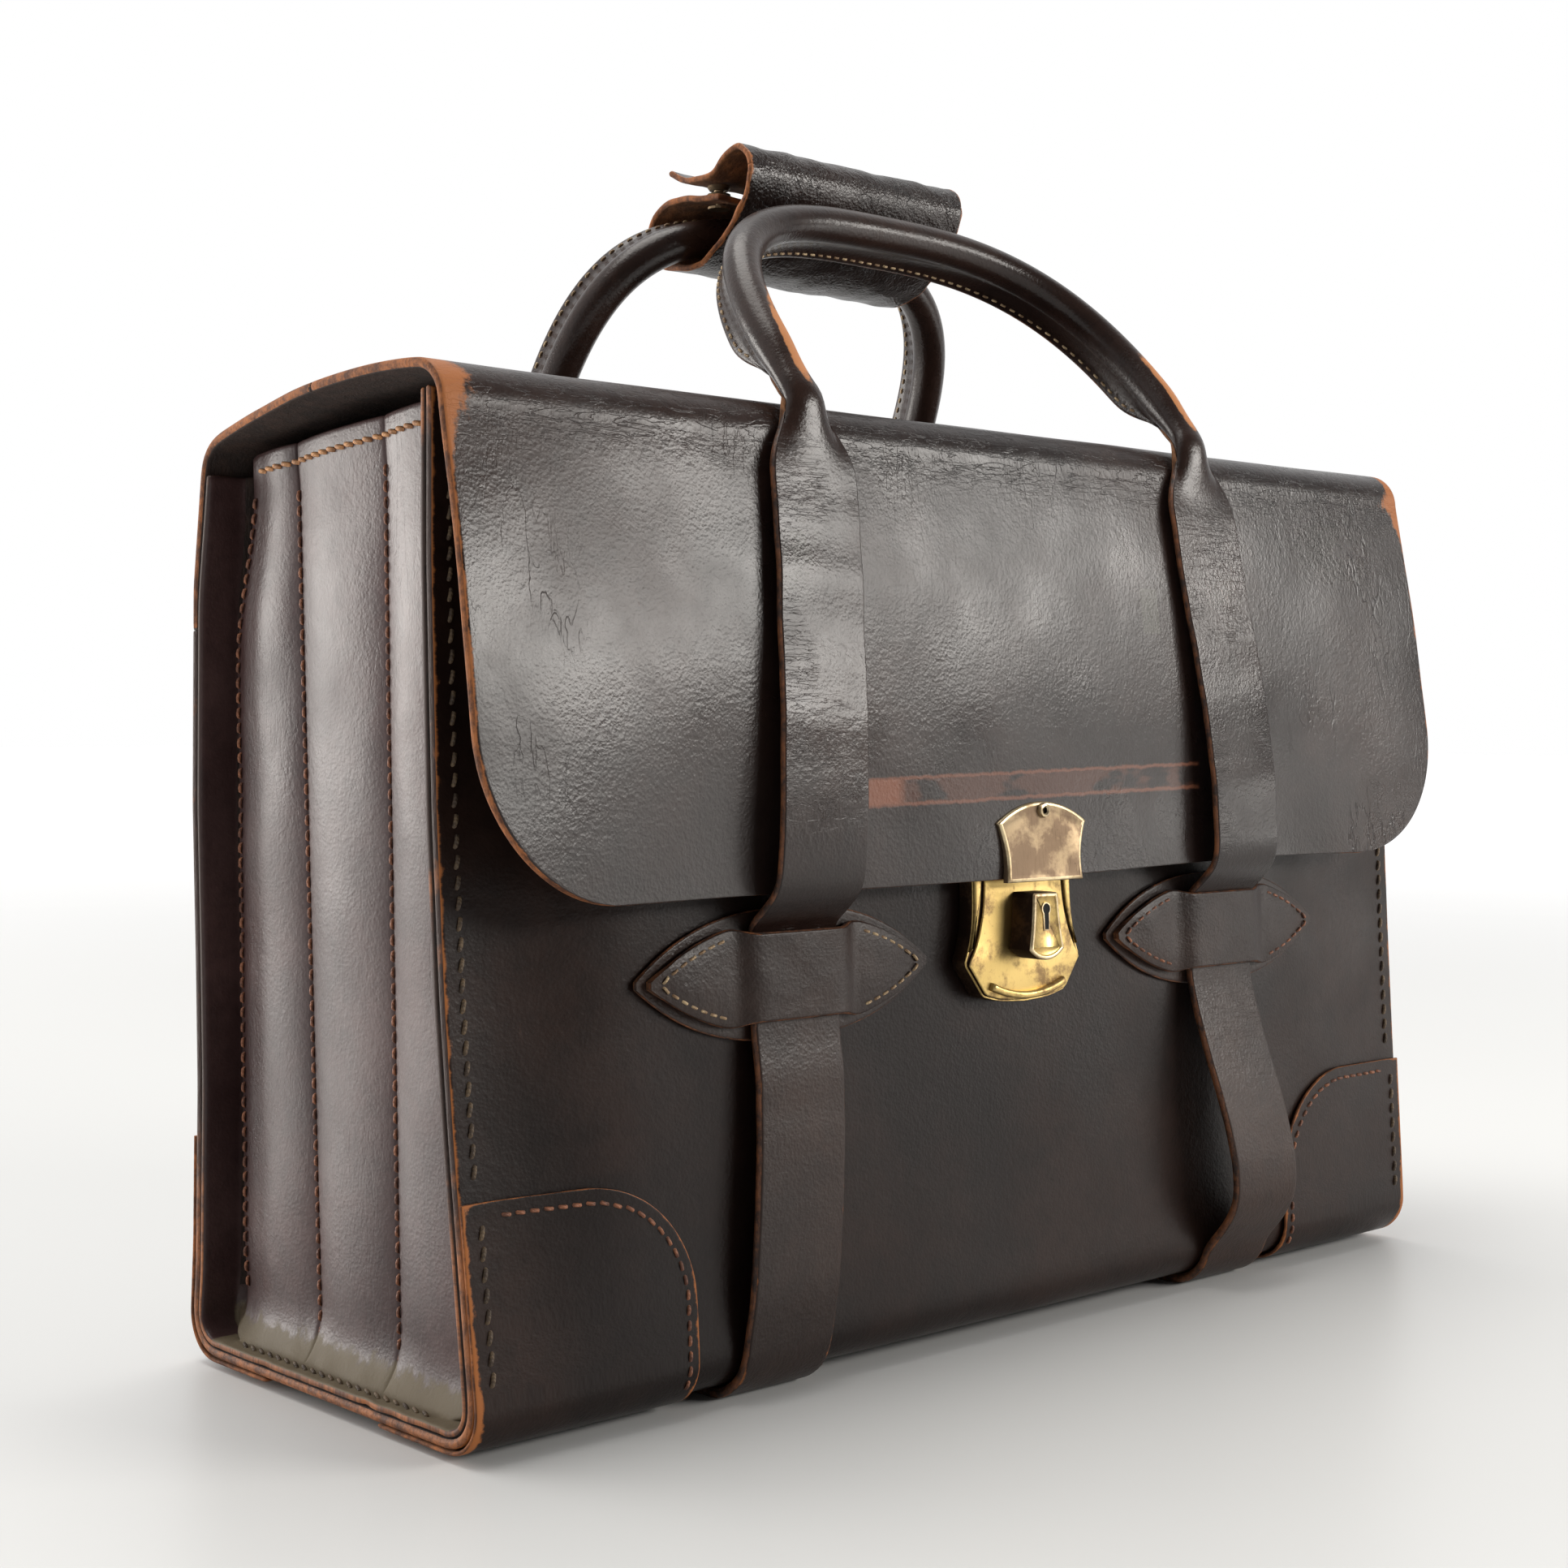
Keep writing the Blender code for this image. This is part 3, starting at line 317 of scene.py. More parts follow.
def fibre(name, dark, light, rough=0.78, dyed=None):
    """Cut edge or flesh side of leather: loose brown fibres, under dye where it hasn't been rubbed."""
    paint = Paint(name)
    at = paint.place()
    mottle = paint.noise(at, 160.0, 5.0, 0.7)
    strands = paint.noise(paint.stretched(at, (1.0, 1.0, 0.2)), 900.0, 3.0, 0.6)
    colour = paint.mix(paint.step(mottle, 0.36, 0.66), dark, light)
    colour = paint.mix(paint.step(strands, 0.4, 0.8, (0.0, 0.5)), colour, tuple(c * 0.4 for c in dark))
    if dyed:
        blots = paint.noise(at, 60.0, 4.0)
        ragged = paint.math("ADD", paint.axis(at, "Z"), paint.math("MULTIPLY", blots, 0.10))
        ends = paint.math("MAXIMUM", paint.step(ragged, 0.090, 0.140, (1.0, 0.0)),
                          paint.step(ragged, 0.325, 0.350))
        rubbed = paint.math("MAXIMUM", ends, paint.step(blots, 0.60, 0.70, (0.0, 0.6)))
        colour = paint.mix(rubbed, dyed, colour)
    paint.height(strands, 0.0003)
    paint.height(mottle, 0.0004)
    return paint.finish(colour, rough)


def thread(name, colour, dirt_and_groove_shade):
    """Waxed linen thread with its twist, soiled in patches, with painted shade in the twist's grooves."""
    paint = Paint(name)
    at = paint.place()
    twist = paint.node("ShaderNodeTexWave", {"Vector": at, "Scale": 420.0, "Distortion": 1.5},
                       bands_direction="DIAGONAL").outputs["Fac"]
    paint.height(twist, 0.00012)
    soiled = paint.math("MULTIPLY", paint.noise(at, 240.0, 3.0), 1.0)
    mixed = paint.mix(paint.step(soiled, 0.38, 0.62), colour, dirt_and_groove_shade)
    # Painted shade in the grooves of the twist.
    mixed = paint.mix(paint.step(twist, 0.0, 0.5, (0.35, 0.0)), mixed, tuple(c * 0.4 for c in dirt_and_groove_shade))
    return paint.finish(mixed, 0.62)


def metal(name, bright, tarnish, rough, spots=0.5, brushed=0.0):
    """Old plated or solid metal: bright where rubbed, dull and darker where it has tarnished."""
    paint = Paint(name)
    at = paint.solid()
    cloud = paint.noise(at, 95.0, 5.0, 0.62, 0.3)
    speck = paint.noise(at, 700.0, 4.0, 0.7)
    dull = paint.step(paint.math("ADD", cloud, paint.math("MULTIPLY", speck, 0.25)), spots + 0.08,
                      spots + 0.30)
    colour = paint.mix(dull, bright, tarnish)
    colour = paint.mix(paint.step(speck, 0.62, 0.78, (0.0, 0.6)), colour,
                       tuple(c * 0.35 for c in tarnish))
    scratches = paint.noise(paint.stretched(at, (1.0, 1.0, 0.06)), 1500.0, 2.0, 0.5)
    paint.height(scratches, 0.00002 + brushed)
    paint.height(cloud, 0.00015)
    shine = paint.math("ADD", paint.math("MULTIPLY", dull, 0.22), rough)
    shine = paint.math("ADD", shine, paint.step(scratches, 0.5, 0.8, (0.0, 0.12)))
    return paint.finish(colour, shine, 1.0)


def rope_paint(name):
    """Laid hemp rope, with painted shade in the grooves between its strands."""
    paint = Paint(name)
    at = paint.solid()
    lay = paint.node("ShaderNodeTexWave", {"Vector": at, "Scale": 160.0, "Distortion": 1.0},
                     bands_direction="DIAGONAL").outputs["Fac"]
    hair = paint.noise(at, 1400.0, 4.0, 0.7)
    paint.height(lay, 0.0006)
    paint.height(hair, 0.0002)
    colour = paint.mix(paint.step(hair, 0.3, 0.7), (0.30, 0.22, 0.13), (0.52, 0.42, 0.27))
    # Painted shade in the grooves between the strands.
    colour = paint.mix(paint.step(lay, 0.0, 0.45, (0.7, 0.0)), colour, (0.12, 0.08, 0.04))
    return paint.finish(colour, 0.9)


def flap_marks(paint, at, colour):
    """The bare stripe that a strip of tape left between the straps, with a darker line over it."""
    x, z = paint.axis(at, "X"), paint.axis(at, "Z")
    edge = paint.math("MULTIPLY", paint.math("SUBTRACT", paint.noise(at, 260.0, 4.0), 0.5), 0.0018)
    rise = paint.math("ADD", z, paint.math("MULTIPLY", x, -0.022))
    stripe = paint.window(paint.math("ADD", rise, edge), 0.1832, 0.1918, 0.0006)
    stripe = paint.math("MULTIPLY", stripe, paint.window(x, -0.084, 0.088, 0.001))
    blots = paint.step(paint.noise(paint.stretched(at, (0.7, 1.0, 1.6)), 75.0, 2.0), 0.40, 0.50)
    left = paint.step(x, -0.068, -0.060, (1.0, 0.0))
    bare = paint.math("MULTIPLY", stripe,
                      paint.math("MAXIMUM", left, paint.math("MULTIPLY", blots, 0.28)))
    rims = paint.math("SUBTRACT", paint.window(paint.math("ADD", rise, edge), 0.1828, 0.1922, 0.0005),
                      paint.window(paint.math("ADD", rise, edge), 0.1840, 0.1911, 0.0005))
    rims = paint.math("MULTIPLY", rims, paint.window(x, -0.084, 0.088, 0.001))
    colour = paint.mix(paint.math("MAXIMUM", bare, paint.math("MULTIPLY", rims, 0.75, True)), colour,
                       (0.190, 0.070, 0.038))
    fold = paint.math("MULTIPLY", cracks(paint, at, (0.16, 1.0, 1.0), 170.0),
                      paint.step(z, 0.280, 0.296))
    paint.height(fold, -0.00006)
    # Painted shade: the crease lines over the fold are darkened to near black.
    colour = paint.mix(paint.math("MULTIPLY", fold, 0.3), colour, (0.004, 0.003, 0.0025))
    tag = paint.math("MULTIPLY", paint.window(x, 0.0610, 0.0705, 0.0006),
                     paint.window(z, 0.2400, 0.2560, 0.0006))
    return paint.mix(paint.math("MULTIPLY", tag, 0.45), colour, (0.070, 0.068, 0.050))


RAW_EDGE = fibre("raw_edge", (0.085, 0.027, 0.009), (0.370, 0.125, 0.034))
DYED_EDGE = fibre("dyed_edge", (0.085, 0.027, 0.009), (0.370, 0.125, 0.034), 0.62, (0.034, 0.014, 0.009))
DARK_EDGE = fibre("dark_edge", (0.022, 0.010, 0.006), (0.210, 0.074, 0.026), 0.55)
FLESH = fibre("flesh_side", (0.100, 0.042, 0.017), (0.260, 0.110, 0.042), 0.85)
INSIDE = fibre("dyed_flesh_side", (0.020, 0.011, 0.008), (0.045, 0.024, 0.017), 0.75)
BODY = leather("body_leather_look", (0.0080, 0.0042, 0.0034), (0.0215, 0.0108, 0.0080),
               (0.330, 0.115, 0.034), 0.35,
               shine=0.18)
FLAP = leather("flap_leather_look", (0.0110, 0.0058, 0.0048), (0.0260, 0.0138, 0.0108),
               (0.330, 0.115, 0.034), 0.30,
               pitch=62.0, crease=0.00010, marks=flap_marks, shine=0.34)
GUSSET = leather("gusset_leather_look", (0.042, 0.0205, 0.0200), (0.080, 0.044, 0.041),
                 (0.135, 0.105, 0.065), 0.36,
                 crease=0.00006, shine=0.38)
STRAP = leather("strap_leather_look", (0.0170, 0.0088, 0.0066), (0.0380, 0.0205, 0.0150),
                (0.300, 0.105, 0.032), 0.38,
                (0.12, 1.0, 1.0), 260.0, grain=0.00006, crease=0.00003, shine=0.25, crease_shade=0.08)
HANDLE = leather("handle_leather_look", (0.0120, 0.0060, 0.0046), (0.0290, 0.0145, 0.0105),
                 (0.420, 0.170, 0.060), 0.28,
                 (0.12, 1.0, 1.0), 240.0, crease=0.00004, shine=0.32, crease_shade=0.10)
GRIP = leather("grip_leather_look", (0.0070, 0.0040, 0.0034), (0.0210, 0.0110, 0.0085),
               (0.330, 0.115, 0.034), 0.33,
               (0.7, 1.0, 1.0), 75.0, grain=0.00016, crease=0.0004, shine=0.5)
LINING = leather("lining_leather_look", (0.120, 0.062, 0.032), (0.190, 0.110, 0.060),
                 (0.260, 0.160, 0.090), 0.62)
BRASS = metal("brass_look", (0.560, 0.400, 0.150), (0.250, 0.165, 0.080), 0.34, 0.50)
# A darker copy of the brass: painted shade for the lock's side walls and grooves.
SHADED_BRASS = metal("shaded_brass_look", (0.085, 0.050, 0.030), (0.030, 0.018, 0.013), 0.42, 0.40)
NICKEL = metal("nickel_brass_look", (0.290, 0.215, 0.130), (0.200, 0.140, 0.092), 0.36, 0.40)
PALE_METAL = metal("worn_rim_look", (0.560, 0.450, 0.280), (0.300, 0.220, 0.130), 0.28, 0.50)
STEEL = metal("steel_look", (0.420, 0.400, 0.370), (0.200, 0.160, 0.120), 0.35, 0.50, 0.00003)
ROPE = rope_paint("rope_look")
CREAM = thread("cream_thread", (0.480, 0.350, 0.200), (0.200, 0.120, 0.060))
RUST = thread("rust_thread", (0.300, 0.115, 0.055), (0.120, 0.046, 0.026))
OLIVE = thread("olive_thread", (0.130, 0.085, 0.045), (0.050, 0.031, 0.018))
ORANGE = thread("orange_thread", (0.640, 0.320, 0.140), (0.360, 0.170, 0.075))
# Near black: painted shade standing in for the inside of the keyhole and the rivet's bore.
HOLE_SHADE = Paint("keyhole_dark").finish((0.004, 0.003, 0.002), 0.9)


# ---------------------------------------------------------------- sheets of leather
def write_attributes(mesh, places, values):
    for name, numbers in values.items():
        layer = mesh.attributes.new(name, "FLOAT", "POINT")
        layer.data.foreach_set("value", np.asarray(numbers, np.float32))
    rest = mesh.attributes.new("rest", "FLOAT_VECTOR", "POINT")
    rest.data.foreach_set("vector", np.asarray(places, np.float32).ravel())


def link(name, mesh, mats, level=1):
    """A linked, smooth shaded object with its materials and one level of subdivision."""
    for mat in mats:
        mesh.materials.append(mat)
    mesh.shade_smooth()
    obj = bpy.data.objects.new(name, mesh)
    bpy.context.scene.collection.objects.link(obj)
    if level:
        rounding = obj.modifiers.new("rounding", "SUBSURF")
        rounding.levels = rounding.render_levels = level
    return obj


def border(rows, cols):
    """Grid places round a sheet's border, in order."""
    top = [(0, c) for c in range(cols)]
    right = [(r, cols - 1) for r in range(1, rows)]
    bottom = [(rows - 1, c) for c in range(cols - 2, -1, -1)]
    left = [(r, 0) for r in range(rows - 2, 0, -1)]
    return top + right + bottom + left


def sheet(name, grid, thick, mats, out=1, butt="", wear=None, crease=None, edge_wear=1.0, level=1):
    """A sheet of leather. grid holds rows of points on its outer face; out picks the side that is
    out. Its border is rounded and cut, apart from the sides in butt, which meet the next sheet:
    first and last row (n, s), first and last column (w, e)."""
    face = np.array([[list(p) for p in row] for row in grid], float)
    rows, cols = face.shape[:2]
    normal = np.cross(np.gradient(face, axis=1), np.gradient(face, axis=0)) * out
    normal /= np.maximum(np.linalg.norm(normal, axis=2, keepdims=True), 1e-12)
    middle = face - normal * thick / 2
    back = face - normal * thick
    pull = 0.38 * thick
    for key, line, inside in (("n", np.s_[0], np.s_[1]), ("s", np.s_[-1], np.s_[-2]),
                              ("w", np.s_[:, 0], np.s_[:, 1]), ("e", np.s_[:, -1], np.s_[:, -2])):
        if key not in butt:
            inward = middle[inside] - middle[line]
            inward = inward / np.maximum(np.linalg.norm(inward, axis=-1, keepdims=True), 1e-12) * pull
            face[line] += inward
            back[line] += inward
    ring = border(rows, cols)
    points = np.concatenate([face.reshape(-1, 3), back.reshape(-1, 3), [middle[spot] for spot in ring]])
    faces, slots = [], []
    count = rows * cols
    for r in range(rows - 1):
        for c in range(cols - 1):
            a, b = r * cols + c, r * cols + c + 1
            quad = (a, b, b + cols, a + cols)
            faces += [quad[::out], tuple(i + count for i in quad[::-out])]
            slots += [0, 2]
    for i, spot in enumerate(ring):
        j = (i + 1) % len(ring)
        a, b = spot[0] * cols + spot[1], ring[j][0] * cols + ring[j][1]
        m, n = 2 * count + i, 2 * count + j
        faces += [(m, n, b, a)[::out], (a + count, b + count, n, m)[::out]]
        joined = (("n" in butt and spot[0] == ring[j][0] == 0)
                  or ("s" in butt and spot[0] == ring[j][0] == rows - 1))
        slots += [0, 2] if joined else [1, 1]
    mesh = bpy.data.meshes.new(name)
    mesh.from_pydata(points.tolist(), [], faces)
    mesh.polygons.foreach_set("material_index", slots)
    line = np.zeros(len(points), int)
    for r in [0] * ("n" in butt) + [rows - 1] * ("s" in butt):
        line[r * cols:(r + 1) * cols] = 1 + r
        line[count + r * cols:count + (r + 1) * cols] = -1 - r
    ends = np.empty(2 * len(mesh.edges), np.int32)
    mesh.edges.foreach_get("vertices", ends)
    first, second = line[ends.reshape(-1, 2)].T
    joined = (first != 0) & (first == second)
    mesh.attributes.new("crease_edge", "FLOAT", "EDGE").data.foreach_set("value",
                                                                         joined.astype(np.float32))
    mesh.attributes.new("sharp_edge", "BOOLEAN", "EDGE").data.foreach_set("value", joined)
    far = np.full((rows, cols), 1.0)
    across = np.cumsum(np.linalg.norm(np.diff(middle, axis=1, prepend=middle[:, :1]), axis=2), axis=1)
    down = np.cumsum(np.linalg.norm(np.diff(middle, axis=0, prepend=middle[:1]), axis=2), axis=0)
    for key, distance in (("w", across), ("e", across[:, -1:] - across), ("n", down),
                          ("s", down[-1:] - down)):
        if key not in butt:
            far = np.minimum(far, distance)
    rub = 0.62 * edge_wear * np.exp(-far / 0.0022)
    folds = np.zeros((rows, cols))
    for extra, into in ((wear, rub), (crease, folds)):
        if extra:
            into += np.array([[extra(*point) for point in row] for row in middle])

    def everywhere(values):
        return np.concatenate([values.ravel(), values.ravel(), [values[spot] for spot in ring]])

    write_attributes(mesh, points, {"wear": everywhere(rub), "crease": everywhere(folds)})
    mesh.validate()
    return link(name, mesh, mats, level)


# ---------------------------------------------------------------- stitches
def along_route(points, pitch, start=0.0):
    """Middle and direction of each stitch along a route of (point, outward direction)."""
    places = np.array([list(p) for p, _ in points])
    outs = np.array([list(n) for _, n in points])
    lengths = np.concatenate([[0], np.cumsum(np.linalg.norm(np.diff(places, axis=0), axis=1))])
    count = int((lengths[-1] - start) / pitch)
    first = start + (lengths[-1] - start - count * pitch) / 2

    def at(table, distance):
        return Vector(np.interp(distance, lengths, table[:, k]) for k in range(3))

    for i in range(count):
        a, b = first + i * pitch, first + (i + 1) * pitch
        yield at(places, (a + b) / 2), (at(places, b) - at(places, a)).normalized(), at(outs,
                                                                                        (a + b) / 2)


def stitches(name, routes, body, mat, pitch=0.0042, radius=0.00045, fill=0.74, lean=0.0):
    """Thread stitches along routes of (point, outward direction): each dives in at both ends."""
    sides = 6
    bend = ((-1.0, -0.9, 0.7), (-0.72, 0.15, 0.95), (0.0, 0.45, 1.0), (0.72, 0.15, 0.95),
            (1.0, -0.9, 0.7))
    points, faces = [], []
    for route in routes:
        for middle, along, out in along_route(route, pitch):
            across = along.cross(out).normalized()
            along = (along + across * lean).normalized()
            across = along.cross(out).normalized()
            out = across.cross(along)
            base = len(points)
            for reach, lift, girth in bend:
                centre = middle + along * reach * pitch * fill / 2 + out * lift * radius
                for k in range(sides):
                    a = 2 * math.pi * k / sides
                    points.append(centre + (across * math.cos(a) + out * math.sin(a)) * radius * girth)
            for ring in range(len(bend) - 1):
                for k in range(sides):
                    a, b = base + ring * sides + k, base + ring * sides + (k + 1) % sides
                    faces.append((a, a + sides, b + sides, b))
            faces.append(tuple(range(base, base + sides)))
            last = base + (len(bend) - 1) * sides
            faces.append(tuple(range(last + sides - 1, last - 1, -1)))
    mesh = bpy.data.meshes.new(name)
    mesh.from_pydata([list(p) for p in points], [], faces)
    write_attributes(mesh, [list(p) for p in points], {})
    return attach(link(name, mesh, [mat], 0), body)


# ---------------------------------------------------------------- body
def wrap_path(side, top, offset=0.0):
    """(y, z) points down a panel and round its bottom fold."""
    fold_z = BODY_BOTTOM + FOLD_RADIUS
    fold_y = wall(side, fold_z) - side * FOLD_RADIUS
    start = 180 if side < 0 else 0
    bend = arc((fold_y, fold_z), FOLD_RADIUS + offset, start, -90 if side > 0 else 270, 12)
    return [(wall(side, top, offset), top)] + bend


def end_curl(side, x, z):
    """How far a panel's end leans out of the panel's plane: the front's inward, the back's out then in."""
    share = ease((abs(x) - 0.165) / 0.060)
    heights = (0.000, 0.030, 0.090, 0.130, 0.180, 0.250, 0.290)
    lean = {-1: (0.0, -0.0025, -0.0075, -0.0100, -0.0112, -0.0105, -0.0085),
            1: (-0.0035, -0.0055, -0.0042, -0.0015, 0.0025, 0.0046, 0.0008)}[side]
    if side < 0 and x > 0:
        share *= 0.2
    return share * float(np.interp(z, heights, lean))


def end_rise(x):
    """How far the front panel's top corners stand above its top edge."""
    return 0.0085 * ease((abs(x) - 0.195) / 0.030)


def body_wear(x, y, z):
    """Rubbed corners: at the panels' ends and at the bottom folds."""
    end = math.exp(-(HALF_WIDTH - abs(x)) / 0.004)
    foot = math.exp(-(z - BODY_BOTTOM) / 0.012)
    return 0.22 * end + 0.14 * foot + 0.45 * end * foot


def make_body():
    front = wrap_path(-1, PANEL_TOP)
    back = wrap_path(1, HIDE_SPLIT)
    path = even_points([(y, z) for y, z in front + back[::-1]], 0.0055)
    columns = spread(-HALF_WIDTH, HALF_WIDTH, 0.0065)
    grid = []
    for point in path:
        y, z = point
        row = []
        for x in columns:
            side = 1 if y > 0 else -1
            dent = 0.0005 * (lumps(x, y, z, 14.0) - 1.0) * ease((HALF_WIDTH - abs(x)) / 0.03)
            upper = ease((z - BODY_BOTTOM - 0.002) / 0.03)
            shift = side * (dent * upper + end_curl(side, x, z) * ease((abs(y) - 0.040) / 0.02))
            rise = end_rise(x) * ease((z - 0.22) / 0.074) if side < 0 else 0.0
            row.append((x, y + shift, z + rise))
        grid.append(row)
    obj = sheet("body_hide", grid, LEATHER, [BODY, DYED_EDGE, INSIDE], out=-1, butt="s",
                wear=body_wear)
    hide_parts("body_wrap")
    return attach(obj, "shell")


def flap_bow(x, z):
    """How far the hanging part stands out beyond its plain face: a belly, and ends that curl outward."""
    hang = (FOLD_CENTRE[1] - z) / (FOLD_CENTRE[1] - FLAP_LOW)
    end = ease((abs(x) - 0.125) / 0.105)
    belly = 0.0036 * math.sin(math.pi * min(max(hang, 0.0), 1.0)) * (1 - 0.5 * end)
    waves = 0.0008 * lumps(x, 0.3, z, 13.0) + 0.0003 * lumps(x, 0.7, z, 34.0)
    return belly + 0.0085 * end * hang + waves * ease(hang / 0.2)


FLAP_TOP_LINE = [(0.0701, 0.2865), (0.0688, 0.2915), (0.0640, 0.2960), (0.0560, 0.2985),
                 (0.0335, 0.3020),
                 (0.0100, 0.3058), (-0.0110, 0.3077), (-0.0350, 0.3087), (-0.0580, 0.3085)]
MIDDLE = 0.0             # y where the lid's two hides meet


def lid_lift(x, y):
    """Soft waves in the lid, and its ends that turn up a little."""
    end = ease((abs(x) - 0.17) / 0.065)
    across = ease((0.066 - y) / 0.03)
    return across * (0.0011 * end + 0.0006 * lumps(x, y, 0.1, 17.0))


def lid_rows():
    """(y, z) points of the back panel's upper part and the lid, and those up to the front fold."""
    back = [(wall(1, z), z) for z in np.linspace(HIDE_SPLIT, BACK_TOP, 5)]
    line = back + FLAP_TOP_LINE
    curve = smooth_curve([(y, z, 0) for y, z in line], 6)
    points = even_points([(p.x, p.y) for p in curve], 0.0045, ends=False)
    rear = [p for p in points if p.x > MIDDLE + 0.001]
    front = [p for p in points if p.x < MIDDLE - 0.001]
    height = np.interp(MIDDLE, [front[0].x, rear[-1].x], [front[0].y, rear[-1].y])
    join = Vector((MIDDLE, height))
    return rear + [join], [join] + front


def lid_half(y):
    """Half the hide's width: the back panel's at the rear bend, the flap's before the front fold."""
    return HALF_WIDTH + (FLAP_HALF - HALF_WIDTH) * ease((0.070 - y) / 0.11)


def flap_wear(x, y, z):
    """Rubbed at the ends of the folds and along the lid's ends."""
    end = math.exp(-(FLAP_HALF - abs(x)) / 0.0045)
    corner = math.exp(-(FLAP_HALF - abs(x)) / 0.017)
    fold = math.exp(-((z - 0.299) / 0.014) ** 2) if y < -0.045 else 0.0
    rear = math.exp(-((z - 0.293) / 0.006) ** 2) if y > 0.05 else 0.0
    patch = 0.74 * corner * fold * (1.15 + lumps(x, y, z, 60.0))
    return 0.20 * end + patch + 0.30 * corner * rear + 0.10 * fold * ease((abs(x) - 0.12) / 0.1)


def flap_crease(x, y, z):
    """Creased near the ends of the hanging part, and over the fold and the rear bend."""
    left = math.exp(-((x + 0.212) / 0.018) ** 2 - ((z - 0.225) / 0.035) ** 2)
    right = math.exp(-((x - 0.190) / 0.038) ** 2) * 1.2
    fold = 0.45 * math.exp(-((z - 0.296) / 0.02) ** 2) if y < -0.03 else 0.0
    hinge = 0.8 * math.exp(-((z - 0.290) / 0.012) ** 2) if y > 0.05 else 0.0
    middle = 0.35 * math.exp(-((x - 0.03) / 0.05) ** 2 - ((z - 0.215) / 0.025) ** 2) if y < -0.06 else 0.0
    hanging = 1.0 if y < -0.055 else 0.35
    return (left + right) * hanging + fold + hinge + middle


def make_flap():
    rear, front = lid_rows()
    columns = np.array(spread(-1.0, 1.0, 0.026))
    columns[1], columns[-2] = -1 + 0.005, 1 - 0.005
    grid = []
    for point in rear:
        y, z = point
        half = lid_half(y)
        lid = 1.0 if y < 0.066 else 0.0
        grid.append([(half * c, y + end_curl(1, half * c, z) * ease((y - 0.05) / 0.02),
                      z + lid * lid_lift(half * c, y)) for c in columns])
    lid = sheet("flap_rear_hide", grid, LEATHER, [FLAP, RAW_EDGE, INSIDE], out=-1,
                butt="ns",
                wear=flap_wear, crease=flap_crease)
    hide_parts("flap_top")
    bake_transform(lid)

    fold = arc(FOLD_CENTRE, FLAP_FOLD_RADIUS, 90, 180, 12)
    heights = list(np.linspace(0.290, 0.206, 18)) + [
        FLAP_LOW + FLAP_CORNER * (1 - math.sin(a)) for a in np.linspace(0.05, math.pi / 2, 16)]
    route = [tuple(p) for p in front[:-1]] + fold + [(flap_face(z), z) for z in heights]
    grid = []
    for y, z in route:
        hanging = z < FOLD_CENTRE[1]
        inset = corner_cut(z - FLAP_LOW, FLAP_CORNER) if hanging else 0.0
        half = (FLAP_HALF if hanging else lid_half(y)) - inset
        row = []
        for c in columns:
            x = half * c
            if hanging:
                hang = (FOLD_CENTRE[1] - z) / (FOLD_CENTRE[1] - FLAP_LOW)
                row.append((x, y - flap_bow(x, z), z + 0.0028 * hang * ease((x + 0.02) / 0.16)))
            else:
                turn = ease((y + 0.0705) / 0.02)
                row.append((x, y, z + turn * lid_lift(x, y)))
        grid.append(row)
    fall = sheet("flap_front_hide", grid, LEATHER, [FLAP, RAW_EDGE, INSIDE],
                 out=-1, butt="n",
                 wear=flap_wear, crease=flap_crease)
    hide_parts("flap_front")
    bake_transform(fall)


def curled(side, x, y, z):
    """y with the panel's end curl added, faded out underneath."""
    return y + side * end_curl(side, x, z) * ease((abs(y) - 0.040) / 0.02)


def make_patches():
    top, corner, width, under = 0.0735, 0.040, 0.081, 0.036
    thick = 0.0013
    outer = HALF_WIDTH - 0.0004
    for side, side_name in SIDES.items():
        for end, end_name in ENDS.items():
            off = GAP + thick
            path = wrap_path(side, top, off)
            path = [(wall(side, z, off), z) for z in (top - corner * (1 - math.cos(a))
                    for a in np.linspace(0, math.pi / 2, 14)[:-1])] + path[1:]
            fold_y = path[-1][0]
            path += [(fold_y - side * reach, BODY_BOTTOM - off) for reach in np.linspace(0.006,
                                                                                         under, 5)]
            grid, seam = [], []
            for y, z in path:
                inner = outer - width + corner_cut(top - z, corner)
                row = [(end * x, curled(side, end * x, y, z), z) for x in spread(outer, inner, count=16)]
                grid.append(row)
                inset = 0.0042
                stitched = outer - width + inset + corner_cut(top - inset - z, corner - inset)
                if z < top - inset and z > BODY_BOTTOM + 0.004:
                    seam.append((Vector((end * stitched, curled(side, end * stitched, y, z), z)),
                                 Vector((0, side, 0))))
            obj = sheet(f"{side_name}_{end_name}_patch_hide", grid, thick, [BODY, RAW_EDGE, FLESH],
                        out=-side * end, wear=body_wear, edge_wear=1.25)
            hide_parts(f"{side_name}_{end_name}_patch")
            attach(obj, "shell")
            z = top - 0.0042
            head = [(Vector((end * x, curled(side, end * x, wall(side, z, off), z), z)),
                     Vector((0, side, 0)))
                    for x in np.linspace(outer - 0.012, outer - width + corner, 8)]
            stitches(f"{side_name}_{end_name}_patch_stitches", [head + seam], "shell", RUST,
                     0.0046, 0.0006,
                     lean=0.12)


def make_panel_seams():
    """Thick stitches down the panels' ends, through the wrap and the gusset's lip."""
    routes = []
    for side in SIDES:
        for end in ENDS:
            top = 0.284 if side < 0 else 0.270
            x = end * (HALF_WIDTH - 0.0068)
            route = [(Vector((x, curled(side, x, wall(side, z), z), z)), Vector((0, side, 0)))
                     for z in np.linspace(top, 0.076, 40)]
            down = [(Vector((x, curled(side, x, wall(side, z, 0.0016), z), z)), Vector((0, side, 0)))
                    for z in np.linspace(0.070, 0.020, 12)]
            routes += [route, down]
    stitches("panel_seams", routes, "shell", OLIVE, 0.0058, 0.00075, 0.80, lean=0.25)


